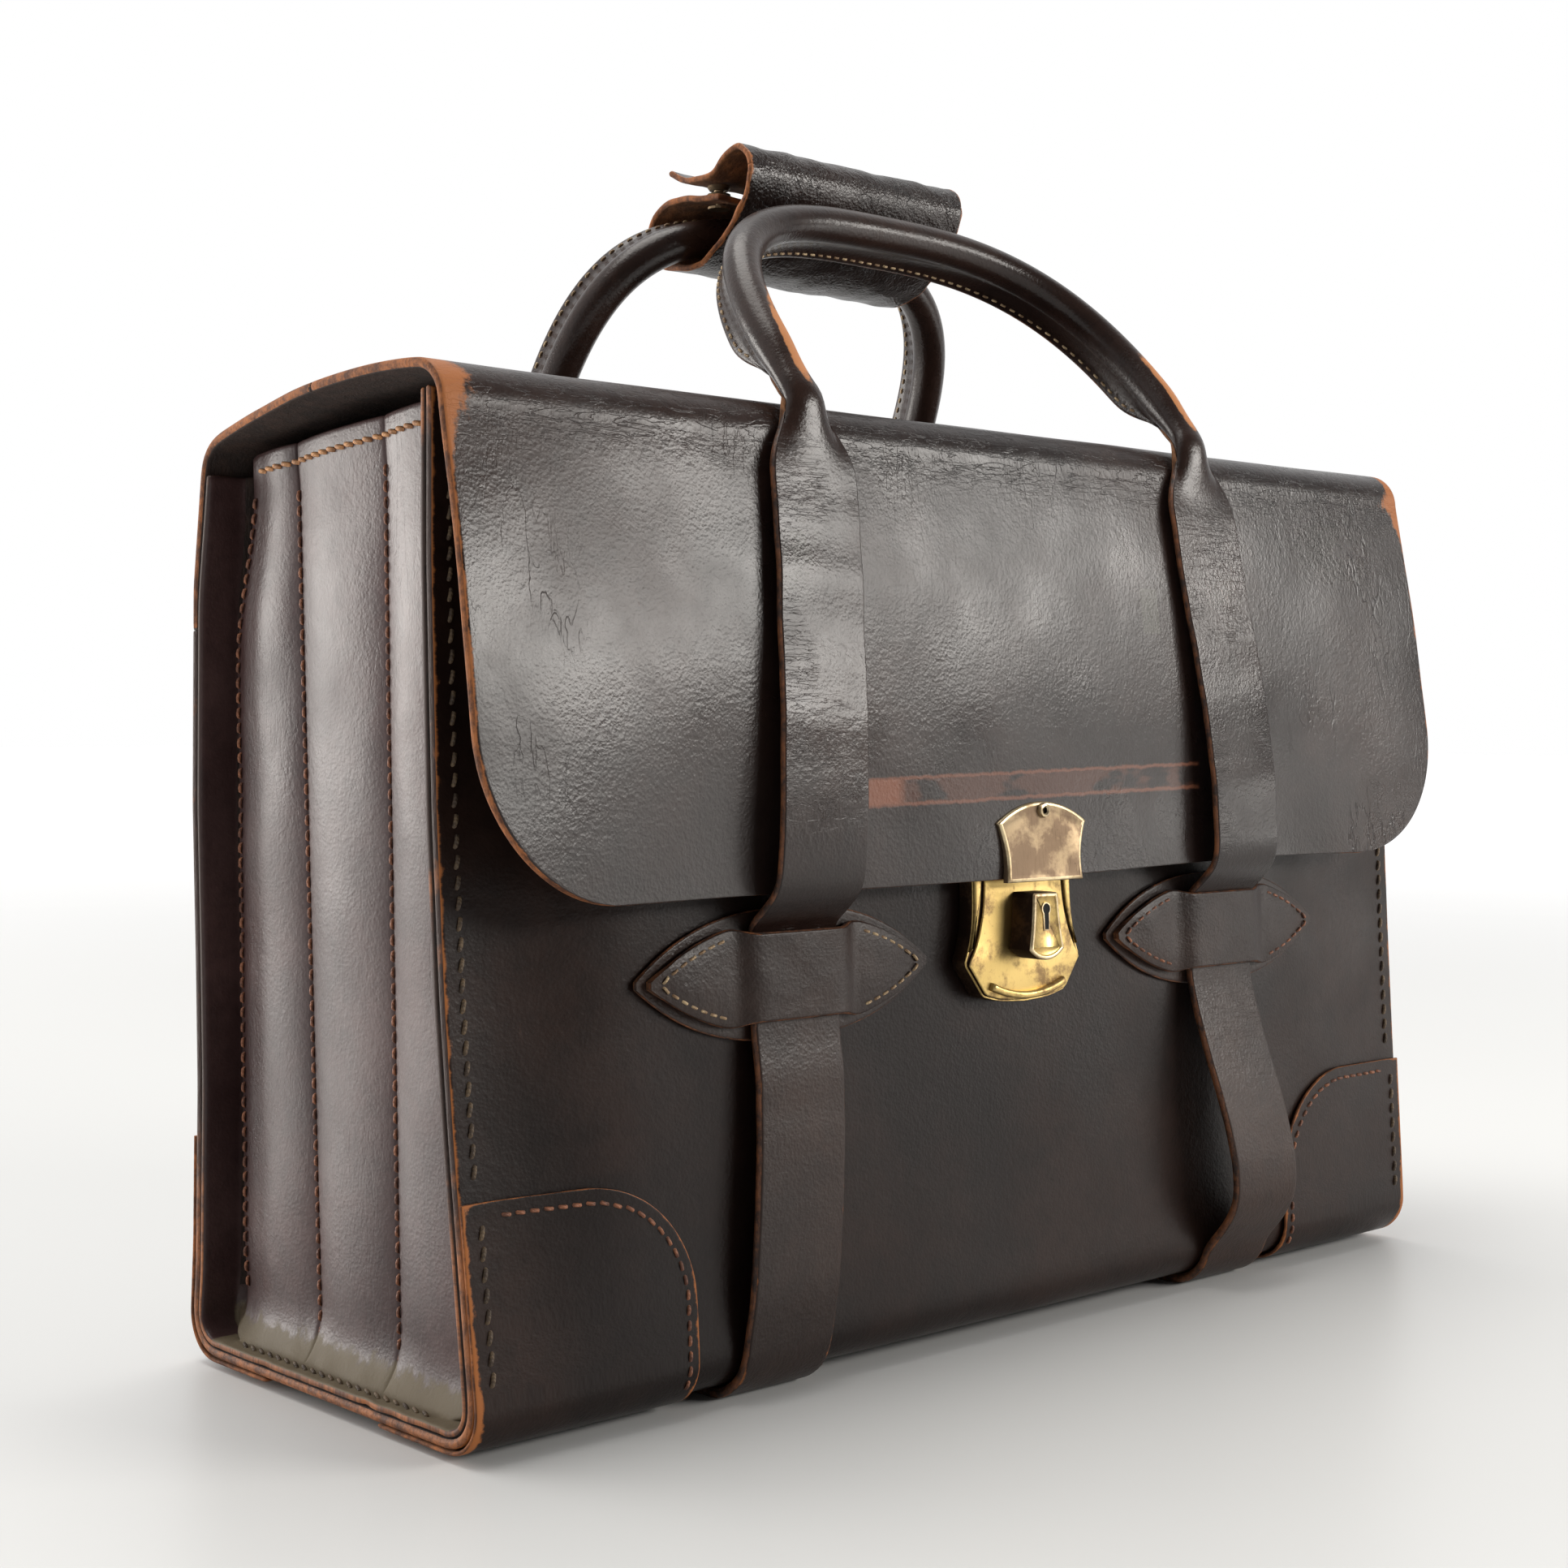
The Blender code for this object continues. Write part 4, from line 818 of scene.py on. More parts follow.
# ---------------------------------------------------------------- ends and dividers
SEAM_LINES = ((-0.0250, -0.0155),
              (0.0180, 0.0330))      # y of the divider seams, at the foot and the top
REAR_FOLD = (0.0600, 0.0675)                             # y of the stitched fold before the back lip
GUSSET_FACE = HALF_WIDTH - 0.0135
GUSSET_TOP = (0.2905,
              0.3020)                            # height of its top edge, at the back and the front
GUSSET_THICK = 0.0023


def seam_y(line, z):
    """y of a seam at height z; the rear fold turns forward near its top."""
    turn = 0.0105 * ease((z - 0.225) / 0.06) if line is REAR_FOLD else 0.0
    return line[0] + (line[1] - line[0]) * z / GUSSET_TOP[0] - turn


def gusset_edges(end, z):
    """y of a gusset's inner faces at the front and back lips."""
    inside = LEATHER + GAP + GUSSET_THICK
    low = BODY_BOTTOM + inside
    pull = corner_cut(z - low, FOLD_RADIUS - inside)
    front = wall(-1, z, -inside) - end_curl(-1, end * HALF_WIDTH, z)
    back = wall(1, z, -inside) + end_curl(1, end * HALF_WIDTH, z)
    return front + pull, back - pull


def gusset_height(y):
    """Height of the gusset's top edge, which climbs toward the front."""
    share = min(max((0.070 - y) / 0.125, 0.0), 1.0)
    return GUSSET_TOP[0] + (GUSSET_TOP[1] - GUSSET_TOP[0]) * share - 0.006 * ease((y - 0.054) / 0.012)


def gusset_bulge(end, y, z):
    """How far a gusset stands out between its seams, and back in behind its rear fold."""
    front, back = gusset_edges(end, z)
    fold = seam_y(REAR_FOLD, z)
    marks = [front, seam_y(SEAM_LINES[0], z), seam_y(SEAM_LINES[1], z), fold]
    rise = 0.0
    for a, b in zip(marks, marks[1:]):
        if a <= y <= b:
            share = (y - a) / (b - a)
            rise = (4 * share * (1 - share)) ** 0.75
            if b == fold:
                rise = max(rise, ease((share - 0.2) / 0.6) * 0.8)
    upper = ease((z - BODY_BOTTOM) / 0.035) * (0.55 + 0.45 * ease((GUSSET_TOP[0] - z) / 0.06))
    puff = 0.0032 * rise * upper + 0.0006 * lumps(y, z, 0.4, 30.0) * rise
    if y > fold:
        valley = ease((y - fold) / 0.0035) * ease((back - y) / 0.0035)
        puff = 0.0022 * upper * (1 - ease((y - fold) / 0.003)) - 0.0110 * valley * ease((z - 0.012) / 0.02)
    return puff


def make_gusset(end, name):
    low = BODY_BOTTOM + LEATHER + GAP + GUSSET_THICK
    heights = [low] + [low + 0.0087 * (1 - math.cos(a)) for a in np.linspace(0.35, math.pi / 2, 5)]
    heights += list(np.arange(heights[-1] + 0.006, GUSSET_TOP[0] - 0.004, 0.0062))
    heights += [GUSSET_TOP[0] - 0.0012, GUSSET_TOP[0]]
    levels = (0.15, 0.45, 0.84, 1.0)
    rows, cols = len(heights), 57
    bm = bmesh.new()
    shared = {}
    wear, crease = [], []

    def vert(key, point, rub=0.0, fold=0.0):
        if key not in shared:
            shared[key] = bm.verts.new(point)
            wear.append(rub)
            crease.append(fold)
        return shared[key]

    def station(z):
        front, back = gusset_edges(end, z)
        marks = [front, seam_y(SEAM_LINES[0], z), seam_y(SEAM_LINES[1], z), seam_y(REAR_FOLD, z), back]
        marks[3] = min(marks[3], back - 0.004)
        out = []
        for (a, b), steps in zip(zip(marks, marks[1:]), (16, 16, 16, 8)):
            out += [a + (b - a) * (0.5 - 0.5 * math.cos(math.pi * k / steps)) for k in range(steps)]
        return out + [back]

    for r, z in enumerate(heights):
        front, back = gusset_edges(end, z)
        for c, y in enumerate(station(z)):
            x = GUSSET_FACE + gusset_bulge(end, y, z)
            if c in (16, 32):
                x -= 0.0005
            hem = 0.0007 if GUSSET_TOP[0] - 0.0105 < z else 0.0
            near_seam = 0.12 if c in (15, 16, 17, 31, 32, 33) else 0.0
            foot = 0.95 * math.exp(-((z - low) / 0.012) ** 2)
            inside = ease((y - front) / 0.008) * ease((back - y) / 0.008)
            slope = max(1 - (z - low) / 0.016, 0.0)
            if r == 0 or c in (0, cols - 1):
                x = GUSSET_FACE + 0.0006
            x += inside * (0.0070 * slope ** 2 + 0.0009 * slope * lumps(y, z, 0.9, 150.0))
            climb = (gusset_height(y) - GUSSET_TOP[0]) * ease((z - 0.20) / (GUSSET_TOP[0] - 0.20))
            vert((r, c), (end * (x + hem), y, z + climb), near_seam + foot, 0.3)
    rim = [(r, 0) for r in range(rows - 1, 0, -1)] + [(0, c) for c in range(cols)] + [
        (r, cols - 1) for r in range(1, rows)]
    for level, share in enumerate(levels):
        for spot in rim:
            foot = shared[spot].co
            depth = abs(foot.x) + (HALF_WIDTH - 0.0004 - abs(foot.x)) * share
            at_foot = 0.95 if spot[0] == 0 else 0.10
            sag = 0.0007 * lumps(foot.y, level, 0.3, 140.0) if spot[0] == 0 and level < 3 else 0.0
            vert((spot, level), (end * depth, foot.y, foot.z + sag), at_foot, 0.2)
    for r in range(rows - 1):
        for c in range(cols - 1):
            made = bm.faces.new([shared[key] for key in ((r, c), (r, c + 1), (r + 1, c + 1),
                                                         (r + 1, c))])
            made.material_index = 2 if c > 49 and c < 55 and r > 5 else 0
    for a, b in zip(rim, rim[1:]):
        chain = [(a, b)] + [((a, k), (b, k)) for k in range(len(levels))]
        for (a0, b0), (a1, b1) in zip(chain, chain[1:]):
            bm.faces.new([shared[key] for key in (b0, a0, a1, b1)])
    if end < 0:
        bmesh.ops.reverse_faces(bm, faces=bm.faces)
    mesh = bpy.data.meshes.new(name)
    bm.verts.index_update()
    points = [list(v.co) for v in bm.verts]
    bm.to_mesh(mesh)
    bm.free()
    write_attributes(mesh, points, {"wear": wear, "crease": crease})
    obj = link(name, mesh, [GUSSET, DYED_EDGE, INSIDE], 0)
    body = obj.modifiers.new("thickness", "SOLIDIFY")
    body.thickness = GUSSET_THICK
    body.offset = -1.0
    body.material_offset_rim = 1
    body.material_offset = 2
    rounding = obj.modifiers.new("rounding", "SUBSURF")
    rounding.levels = rounding.render_levels = 1
    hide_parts(f"{ENDS[end]}_gusset")
    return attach(obj, "shell")


def climbed(y, z):
    """z with the gusset's climb toward the front added."""
    return z + (gusset_height(y) - GUSSET_TOP[0]) * ease((z - 0.20) / (GUSSET_TOP[0] - 0.20))


def make_gusset_stitches(end):
    out = Vector((end, 0, 0))
    seams = []
    for line, low in ((SEAM_LINES[0], 0.014), (SEAM_LINES[1], 0.014), (REAR_FOLD, 0.024)):
        inset = 0.0014 if line is REAR_FOLD else 0.0
        seam = []
        for z in np.linspace(low, GUSSET_TOP[0] - 0.012, 60):
            y = seam_y(line, z) - inset
            seam.append((Vector((end * (GUSSET_FACE + gusset_bulge(end, y, z) + 0.0005), y,
                                 climbed(y, z))), out))
        seams.append(seam)
    stitches(f"{ENDS[end]}_gusset_stitches", seams, "shell", RUST, 0.0048, 0.00055, 0.74, lean=0.12)
    z = GUSSET_TOP[0] - 0.0062
    front, back = gusset_edges(end, z)
    hem = [(Vector((end * (GUSSET_FACE + gusset_bulge(end, y, z) + 0.0008), y, climbed(y, z))), out)
           for y in np.linspace(front + 0.003, seam_y(REAR_FOLD, z) - 0.002, 60)]
    stitches(f"{ENDS[end]}_gusset_hem_stitches", [hem], "shell", ORANGE, 0.0046, 0.0008, 0.84, lean=0.22)
    low = BODY_BOTTOM + LEATHER + GAP + GUSSET_THICK
    tilt = Vector((end * 0.3, 0, 0.95))
    ledge = [(Vector((end * (GUSSET_FACE + 0.0092), y, low + 0.0004)), tilt)
             for y in np.linspace(gusset_edges(end, low)[0] + 0.012,
                                  gusset_edges(end, low)[1] - 0.010, 60)]
    stitches(f"{ENDS[end]}_gusset_foot_stitches", [ledge], "shell", OLIVE, 0.0050, 0.0006, 0.84,
             lean=0.35)


def make_dividers():
    half = GUSSET_FACE - GUSSET_THICK - 0.0008
    for name, line in zip(("front_divider", "rear_divider"), ((-0.019, -0.014), (0.031, 0.038))):
        low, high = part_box(name)
        grid = []
        for z in spread(high.z, low.z, 0.012):
            share = (z - low.z) / (high.z - low.z)
            y = line[0] + (line[1] - line[0]) * share
            grid.append([(x, y + 0.0012 * lumps(x, 0.2, z, 9.0) * math.cos(math.pi * x / (2 * half)), z)
                         for x in spread(-half, half, 0.014)])
        obj = sheet(f"{name}_hide", grid, 0.002, [LINING, RAW_EDGE, LINING], out=-1)
        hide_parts(name)
        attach(obj, "shell")


# ---------------------------------------------------------------- straps and keepers
def leaf_half(dx, half_length, half_height):
    share = min(abs(dx) / half_length, 1.0)
    return 0.0010 + (half_height - 0.0010) * (1 - share ** 2.6) ** 0.95


def leaf_columns(half_length):
    """Stations along a leaf, closer together at its pointed tips."""
    angles = np.linspace(-math.pi / 2, math.pi / 2, 45)
    return [half_length * math.sin(a) for a in angles]


def make_keepers():
    base = 2 * GAP + PAD_THICK + KEEPER_THICK
    raised = base + STRAP_THICK + 2 * GAP
    half_length, half_height = KEEPER_HALF
    for side, side_name in SIDES.items():
        for end, end_name in ENDS.items():
            name = f"{side_name}_{end_name}_keeper"
            centre = end * STRAP_X
            height = KEEPER_Z + (0.0025 if (side, end) == (-1, 1) else 0.0)
            seed = side * 3 + end

            def lift(dx, rise=raised, flat=base):
                step = 1 - ease((abs(dx) - STRAP_HALF - 0.0005) / 0.0045)
                return flat + (rise - flat) * step

            pad, leaf = [], []
            for dx in leaf_columns(half_length + 0.0035):
                h = leaf_half(dx, half_length + 0.0035, half_height + 0.0026)
                pad.append([(centre + dx, wall(side, z, GAP + PAD_THICK), z)
                            for z in spread(height + h, height - h, count=8)])
            for dx in leaf_columns(half_length):
                narrow = 1 - ease((abs(dx) - BAND_HALF[0]) / 0.006)
                h = leaf_half(dx, half_length, half_height)
                h += (BAND_HALF[1] - h) * narrow
                row = []
                for z in spread(height + h, height - h, count=9):
                    share = (z - height) / max(h, 1e-6)
                    dome = 0.0011 * (1 - share ** 4) * ease((half_length - abs(dx)) / 0.02) * (1 - narrow)
                    sag = 0.0004 * lumps(dx, z, seed, 90.0)
                    row.append((centre + dx, wall(side, z, lift(dx) + dome + sag), z))
                leaf.append(row)
            under = sheet(f"{name}_pad_hide", pad, PAD_THICK, [STRAP, DARK_EDGE, FLESH],
                          out=-side, edge_wear=0.8)
            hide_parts(f"{name}_pad")
            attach(under, "shell")
            over = sheet(f"{name}_hide", leaf, KEEPER_THICK, [STRAP, DARK_EDGE, FLESH],
                         out=-side, edge_wear=0.9,
                         crease=lambda x, y, z: 0.5)
            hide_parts(name)
            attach(over, "shell")

            routes = []
            inset = 0.0036
            for way in (-1, 1):
                route = []
                for part in (1, -1):
                    stations = np.linspace(BAND_HALF[0] + 0.0065, half_length - inset - 0.001, 22)
                    for dx in (stations if part > 0 else stations[::-1]):
                        h = leaf_half(dx, half_length, half_height) - inset
                        h = max(h, 0.0)
                        z = height + part * h
                        route.append((Vector((centre + way * dx, wall(side, z, lift(dx) + 0.0006), z)),
                                      Vector((0, side, 0))))
                routes.append(route)
            stitches(f"{name}_stitches", routes, "shell", CREAM if end < 0 else RUST, 0.0040, 0.00048)


def strap_drift(end, y, z):
    """How far a lower strap wanders sideways below its front keeper, and on under the bag."""
    if y > 0:
        return 0.0
    low = ease((0.105 - z) / 0.085)
    under = ease(-y / 0.06)
    return {-1: -0.0055, 1: 0.0085}[end] * low * under


def strap_half_path(side, bow):
    """(y, z) points of a lower strap's middle, from inside the keeper to the floor."""
    in_keeper = GAP * 2 + PAD_THICK + GAP + STRAP_THICK / 2
    start = [(wall(side, KEEPER_Z + rise, in_keeper), KEEPER_Z + rise) for rise in (0.0098, 0.0,
                                                                                    -0.0155)]
    fold_z = BODY_BOTTOM + FOLD_RADIUS
    fold_y = abs(wall(side, fold_z)) - FOLD_RADIUS
    round_fold = arc((fold_y, fold_z), FOLD_RADIUS + 2 * GAP + STRAP_THICK / 2, -8, -90, 6)
    hanging = [(side * (0.4 * bow + 0.6 * abs(wall(side, 0.09, in_keeper))), 0.092),
               (side * bow, 0.060), (side * (bow + 0.0006), 0.034)]
    hanging += [(side * y, z) for y, z in round_fold]
    return start + hanging + [(side * 0.03, STRAP_THICK / 2), (0.0, STRAP_THICK / 2)]


def strap_section(centre, across, out, half):
    """Outer face points across a strap."""
    return [centre + across * u + out * (STRAP_THICK / 2)
            for u in spread(-half, half, 0.005)]


def make_lower_strap(end, bow):
    front = strap_half_path(-1, bow)
    back = strap_half_path(1, bow)
    path = smooth_curve([(y, z, 0) for y, z in front + back[::-1][1:]], 5)
    path = even_points([(p.x, max(p.y, STRAP_THICK / 2)) for p in path], 0.0042)
    grid = []
    for i, point in enumerate(path):
        ahead, behind = path[min(i + 1, len(path) - 1)], path[max(i - 1, 0)]
        along = (ahead - behind).normalized()
        out = Vector((0, -along.y, along.x)) * -1
        y, z = point
        flat = z < 0.006
        if flat:
            out = Vector((0, 0, -1))
        wave = 0.0 if flat else 0.00035 * lumps(y, z, end, 95.0)
        centre = Vector((end * STRAP_X + strap_drift(end, y, z), y, z)) + out * wave
        grid.append(strap_section(centre, Vector((1, 0, 0)), out, STRAP_HALF))
    name = ENDS[end]
    obj = sheet(f"{name}_strap_hide", grid, STRAP_THICK, [STRAP, DARK_EDGE, FLESH],
                out=-1,
                crease=lambda x, y, z: 0.35 + 0.5 * math.exp(-((z - 0.1) / 0.02) ** 2),
                wear=lambda x, y, z: 0.16 * math.exp(-((z - 0.01) / 0.012) ** 2), edge_wear=0.95)
    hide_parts(f"{name}_strap")
    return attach(obj, "shell")


def roll_profile(rolled, flange, half, squash, steps=16):
    """(w, n) points across the leather's middle, from a flat strap to a roll with a stitched flange."""
    points = []
    root = ROLL_RADIUS * math.cos(math.radians(148))
    for k in range(-steps, steps + 1):
        u = k / steps
        share = abs(u)
        if share <= 0.78:
            turn = math.radians(148) * u / 0.78
            spot = Vector((ROLL_RADIUS * math.sin(turn), ROLL_RADIUS * math.cos(turn)))
        else:
            down = (share - 0.78) / 0.22
            side = ROLL_RADIUS * math.sin(math.radians(148))
            close = 0.0013 + 0.0006 * (1 - rolled)
            width = side + (close - side) * ease(down * 2.2)
            spot = Vector((math.copysign(width, u), root - down * (0.0012 + flange)))
        spot.y *= squash
        points.append(Vector((half * u, 0.0)).lerp(spot, rolled))
    return points


def strap_route(side):
    hinge_y, hinge_z = HANDLE_HINGE[side]
    neck_y, neck_z = NECK[side]
    in_keeper = GAP * 2 + PAD_THICK + GAP + STRAP_THICK / 2
    if side < 0:
        stand_off = ((0.160, 0.0049), (0.178, 0.0070), (0.205, 0.0076), (0.245, 0.0056), (0.275, 0.0036))
        middle = [(flap_face(z) - off - STRAP_THICK / 2, z) for z, off in stand_off]
    else:
        stand_off = ((0.165, 0.0050), (0.205, 0.0068), (0.245, 0.0075), (0.272, 0.0082))
        middle = [(wall(1, z, off + STRAP_THICK / 2), z) for z, off in stand_off]
    route = [(-STRAP_X, wall(side, z, in_keeper), z) for z in (KEEPER_Z + 0.0105, KEEPER_Z + 0.0150)]
    route.append((-STRAP_X, hinge_y, hinge_z))
    for y, z in middle:
        share = ease((z - hinge_z) / (neck_z - hinge_z))
        route.append((-STRAP_X + (STRAP_X - NECK_X[side]) * share, y, z))
    return route + [(-NECK_X[side], neck_y, neck_z)]


def arch_route(side, count=90):
    a, b, power, tilt = ARCH[side]
    lean = math.radians(tilt)
    up = Vector((0, -side * math.sin(lean), math.cos(lean)))
    base = Vector((0, *NECK[side]))
    out = []
    for i in range(count + 1):
        angle = math.pi / 2 * (i / count) ** 1.6
        x = -a * math.cos(angle) ** (2 / power) if angle < math.pi / 2 else 0.0
        rise = b * math.sin(angle) ** (2 / power)
        out.append(Vector((x * NECK_X[side] / a if i == 0 else x, 0, 0)) + base + up * rise)
    return out


def make_handle(side):
    name = f"{SIDES[side]}_handle"
    strap = smooth_curve(strap_route(side), 12)
    arch = arch_route(side)
    strap_length = sum((b - a).length for a, b in zip(strap, strap[1:]))
    half_route = even_points(strap + arch[1:], 0.0042)
    lengths = [0.0]
    for a, b in zip(half_route, half_route[1:]):
        lengths.append(lengths[-1] + (b - a).length)
    lean = math.radians(ARCH[side][3])
    strap_out = Vector((0, -1, 0))
    arch_out = Vector((0, -math.cos(lean), -side * math.sin(lean)))
    grid, rub, flange_line = [], [], []
    mirrored = [Vector((-p.x, p.y, p.z)) for p in half_route[-2::-1]]
    route = half_route + mirrored
    reach = lengths + lengths[-2::-1]
    for i, point in enumerate(route):
        past_neck = reach[i] - strap_length
        turn = ease((past_neck + 0.030) / 0.050)
        rolled = ease((past_neck + 0.026) / 0.036)
        flange = FLANGE * ease((past_neck - 0.010) / 0.026)
        squash = 1.0 - 0.36 * ease((0.024 - past_neck) / 0.016)
        along = (route[min(i + 1, len(route) - 1)] - route[max(i - 1, 0)]).normalized()
        out = strap_out.lerp(arch_out, turn).normalized()
        out = (out - along * out.dot(along)).normalized()
        across = along.cross(out)
        thick = STRAP_THICK + (ROLL_LEATHER - STRAP_THICK) * rolled
        flat = 1 - rolled
        wave = 0.0006 * flat * lumps(point.z, 0.2 * point.x, side + math.copysign(2, point.x), 80.0)
        line = roll_profile(rolled, flange, STRAP_HALF, squash)
        row = []
        for k, spot in enumerate(line):
            before, after = line[max(k - 1, 0)], line[min(k + 1, len(line) - 1)]
            tangent = (after - before).normalized()
            skin = spot + Vector((-tangent.y, tangent.x)) * thick / 2
            row.append(point + across * skin.x + out * (skin.y + wave))
        grid.append(row)
        if flange > 0.004:
            edge = line[-1]
            tip = point + out * (edge.y + 0.0030)
            flange_line.append((tip, across, out))
    obj = sheet(f"{name}_hide", grid, ROLL_LEATHER + 0.0004, [HANDLE, DARK_EDGE, FLESH],
                out=1, edge_wear=0.75,
                crease=lambda x, y, z: 0.9 * ease((0.30 - z) / 0.03) + 0.25,
                wear=lambda x, y, z: leg_wear(side, x, y, z))
    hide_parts(name)
    hinge_y, hinge_z = HANDLE_HINGE[side]
    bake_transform(obj)
    body = f"{SIDES[side]}_grip"
    lift = 0.0013 + ROLL_LEATHER / 2
    for way, label in ((1, "inner"), (-1, "outer")):
        line = [(tip + across * way * lift, across * way) for tip, across, out in flange_line]
        stitches(f"{name}_{label}_stitches", [line], body, CREAM, 0.0041, 0.00045, 0.62)
    return obj


def leg_wear(side, x, y, z):
    """Bare tan leather along the front of each of the handle's legs, just above the neck."""
    a, b, power, tilt = ARCH[side]
    neck_y, neck_z = NECK[side]
    lean = math.radians(tilt)
    share = min(max((z - neck_z) / (b * math.cos(lean)), 0.0), 1.0)
    middle = math.copysign(a * (1 - share ** power) ** (1 / power), x)
    crest = -(y - neck_y) * math.cos(lean) - side * (z - neck_z) * math.sin(lean)
    near = math.exp(-((z - neck_z - 0.018) / 0.022) ** 2)
    return near * ease((crest - 0.0005) / 0.0025) * ease((x - middle + 0.0030) / 0.003)


def make_grip_wrap():
    """The loose grip wrap round the rear handle, with its leaf snapped over its tab."""
    sleeve = [(0.0205, 0.3922), (0.0340, 0.3936), (0.0470, 0.3940), (0.0560, 0.3900),
              (0.0585, 0.3820), (0.0550, 0.3745), (0.0460, 0.3705), (0.0360, 0.3695),
              (0.0265, 0.3715), (0.0170, 0.3785), (0.0090, 0.3880), (0.0040, 0.3970), (0.0042, 0.4010)]
    leaf = [(0.0042, 0.4010), (0.0062, 0.4056), (0.0123, 0.4085), (0.0190, 0.4050), (0.0240, 0.4010),
            (0.0270, 0.4003), (0.0350, 0.4003), (0.0390, 0.4008), (0.0475, 0.4042)]
    thick = 0.0022
    for name, knots, butt, nodes in (("grip_sleeve_hide", sleeve, "s", ("grip_wrap",)),
                                     ("grip_leaf_hide", leaf, "n", ("wrap_leaf",))):
        curve = smooth_curve([(y, z, 0) for y, z in knots], 8)
        path = even_points([(p.x, p.y) for p in curve], 0.0026)
        grid = []
        for i, point in enumerate(path):
            along = (path[min(i + 1, len(path) - 1)] - path[max(i - 1, 0)]).normalized()
            out = Vector((0, along.y, -along.x)) * -1
            seam = math.exp(-((point.x - 0.0042) / 0.004) ** 2) * math.exp(-((point.y - 0.4010) / 0.004) ** 2)
            row = []
            for x in spread(-0.054, 0.054, 0.0035):
                wrinkle = 0.0007 * lumps(x, point.x, point.y, 110.0) + 0.0005 * lumps(x, point.x,
                                                                                      point.y, 230.0)
                ragged = 0.0011 * lumps(point.x, point.y, math.copysign(3.0, x),
                                        160.0) * (abs(x) / 0.054) ** 6
                row.append(Vector((x + ragged, point.x, point.y))
                           + out * (thick / 2 + wrinkle * (1 - seam)))
            grid.append(row)
        obj = sheet(name, grid, thick, [GRIP, RAW_EDGE, FLESH], out=1, butt=butt,
                    crease=lambda x, y, z: 1.0, edge_wear=1.2,
                    wear=lambda x, y, z: 0.12)
        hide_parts(*nodes)
        if name == "grip_sleeve_hide":
            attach(obj, "rear_grip")
        else:
            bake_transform(obj)


# ---------------------------------------------------------------- metal
def stacked(name, outline, steps, spot, mats, body, nodes=(), cap_mat=0):
    """A plate built up from one outline: steps are (inset, height, material) and spot maps
    (u, v, height) to a point. The last ring is capped."""
    flat = [Vector(p) for p in outline]
    count = len(flat)
    inward = []
    for i, point in enumerate(flat):
        a = (point - flat[i - 1]).normalized()
        b = (flat[(i + 1) % count] - point).normalized()
        n = Vector((-a.y - b.y, a.x + b.x))
        n = n.normalized() / max(math.sqrt((1 + a.dot(b)) / 2), 0.5)
        inward.append(n)
    bm = bmesh.new()
    rings = []
    for inset, height, _ in steps:
        ring = [p + n * inset for p, n in zip(flat, inward)]
        rings.append([bm.verts.new(spot(p.x, p.y, height)) for p in ring])
    for number, (first, second) in enumerate(zip(rings, rings[1:])):
        for i in range(count):
            j = (i + 1) % count
            made = bm.faces.new((first[i], first[j], second[j], second[i]))
            made.material_index = steps[number + 1][2]
            made.smooth = True
    cap = bm.faces.new(rings[-1])
    cap.material_index = cap_mat
    bm.faces.new(rings[0][::-1])
    bmesh.ops.recalc_face_normals(bm, faces=bm.faces)
    mesh = bpy.data.meshes.new(name)
    bm.to_mesh(mesh)
    bm.free()
    for mat in mats:
        mesh.materials.append(mat)
    mesh.set_sharp_from_angle(angle=math.radians(50))
    obj = bpy.data.objects.new(name, mesh)
    bpy.context.scene.collection.objects.link(obj)
    if nodes:
        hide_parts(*nodes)
    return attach(obj, body)


def on_panel(x, z, height):
    """A point of the lock, which sits a little left of the middle."""
    return (x - 0.0035, wall(-1, z + 0.0022, height), z + 0.0022)


def on_flap(x, z, height):
    """A point of the hasp, which sits a little right of the middle."""
    return (x + 0.0012, flap_face(z + 0.0022) - height, z + 0.0022)


def mirror_outline(right):
    """A closed outline from its right half, which runs from top to bottom."""
    left = [(-x, z) for x, z in right[::-1] if x > 1e-6]
    return (right + left)[::-1]


def fine(points, steps=4):
    """A smooth curve through the points."""
    return [(p.x, p.y) for p in smooth_curve([(x, z, 0) for x, z in points], steps)]


def turned(name, profile, centre, axis, mats, body, nodes=(), sides=40, picks=None):
    """A turned piece from (radius, height) points, closed on the axis where the radius is 0."""
    turn = Vector((0, 0, 1)).rotation_difference(Vector(axis)).to_matrix()
    bm = bmesh.new()
    rings = []
    for radius, height in profile:
        steps = 1 if radius == 0 else sides
        rings.append([bm.verts.new(Vector(centre) + turn @ Vector((
            radius * math.cos(2 * math.pi * k / sides), radius * math.sin(2 * math.pi * k / sides), height)))
            for k in range(steps)])
    for number, (first, second) in enumerate(zip(rings, rings[1:])):
        for k in range(sides):
            corners = [first[k % len(first)], first[(k + 1) % len(first)],
                       second[(k + 1) % len(second)], second[k % len(second)]]
            made = bm.faces.new(list(dict.fromkeys(corners)))
            made.smooth = True
            made.material_index = picks[number] if picks else 0
    bmesh.ops.recalc_face_normals(bm, faces=bm.faces)
    mesh = bpy.data.meshes.new(name)
    bm.to_mesh(mesh)
    bm.free()
    for mat in mats:
        mesh.materials.append(mat)
    mesh.set_sharp_from_angle(angle=math.radians(38))
    obj = bpy.data.objects.new(name, mesh)
    bpy.context.scene.collection.objects.link(obj)
    if nodes:
        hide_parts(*nodes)
    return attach(obj, body)


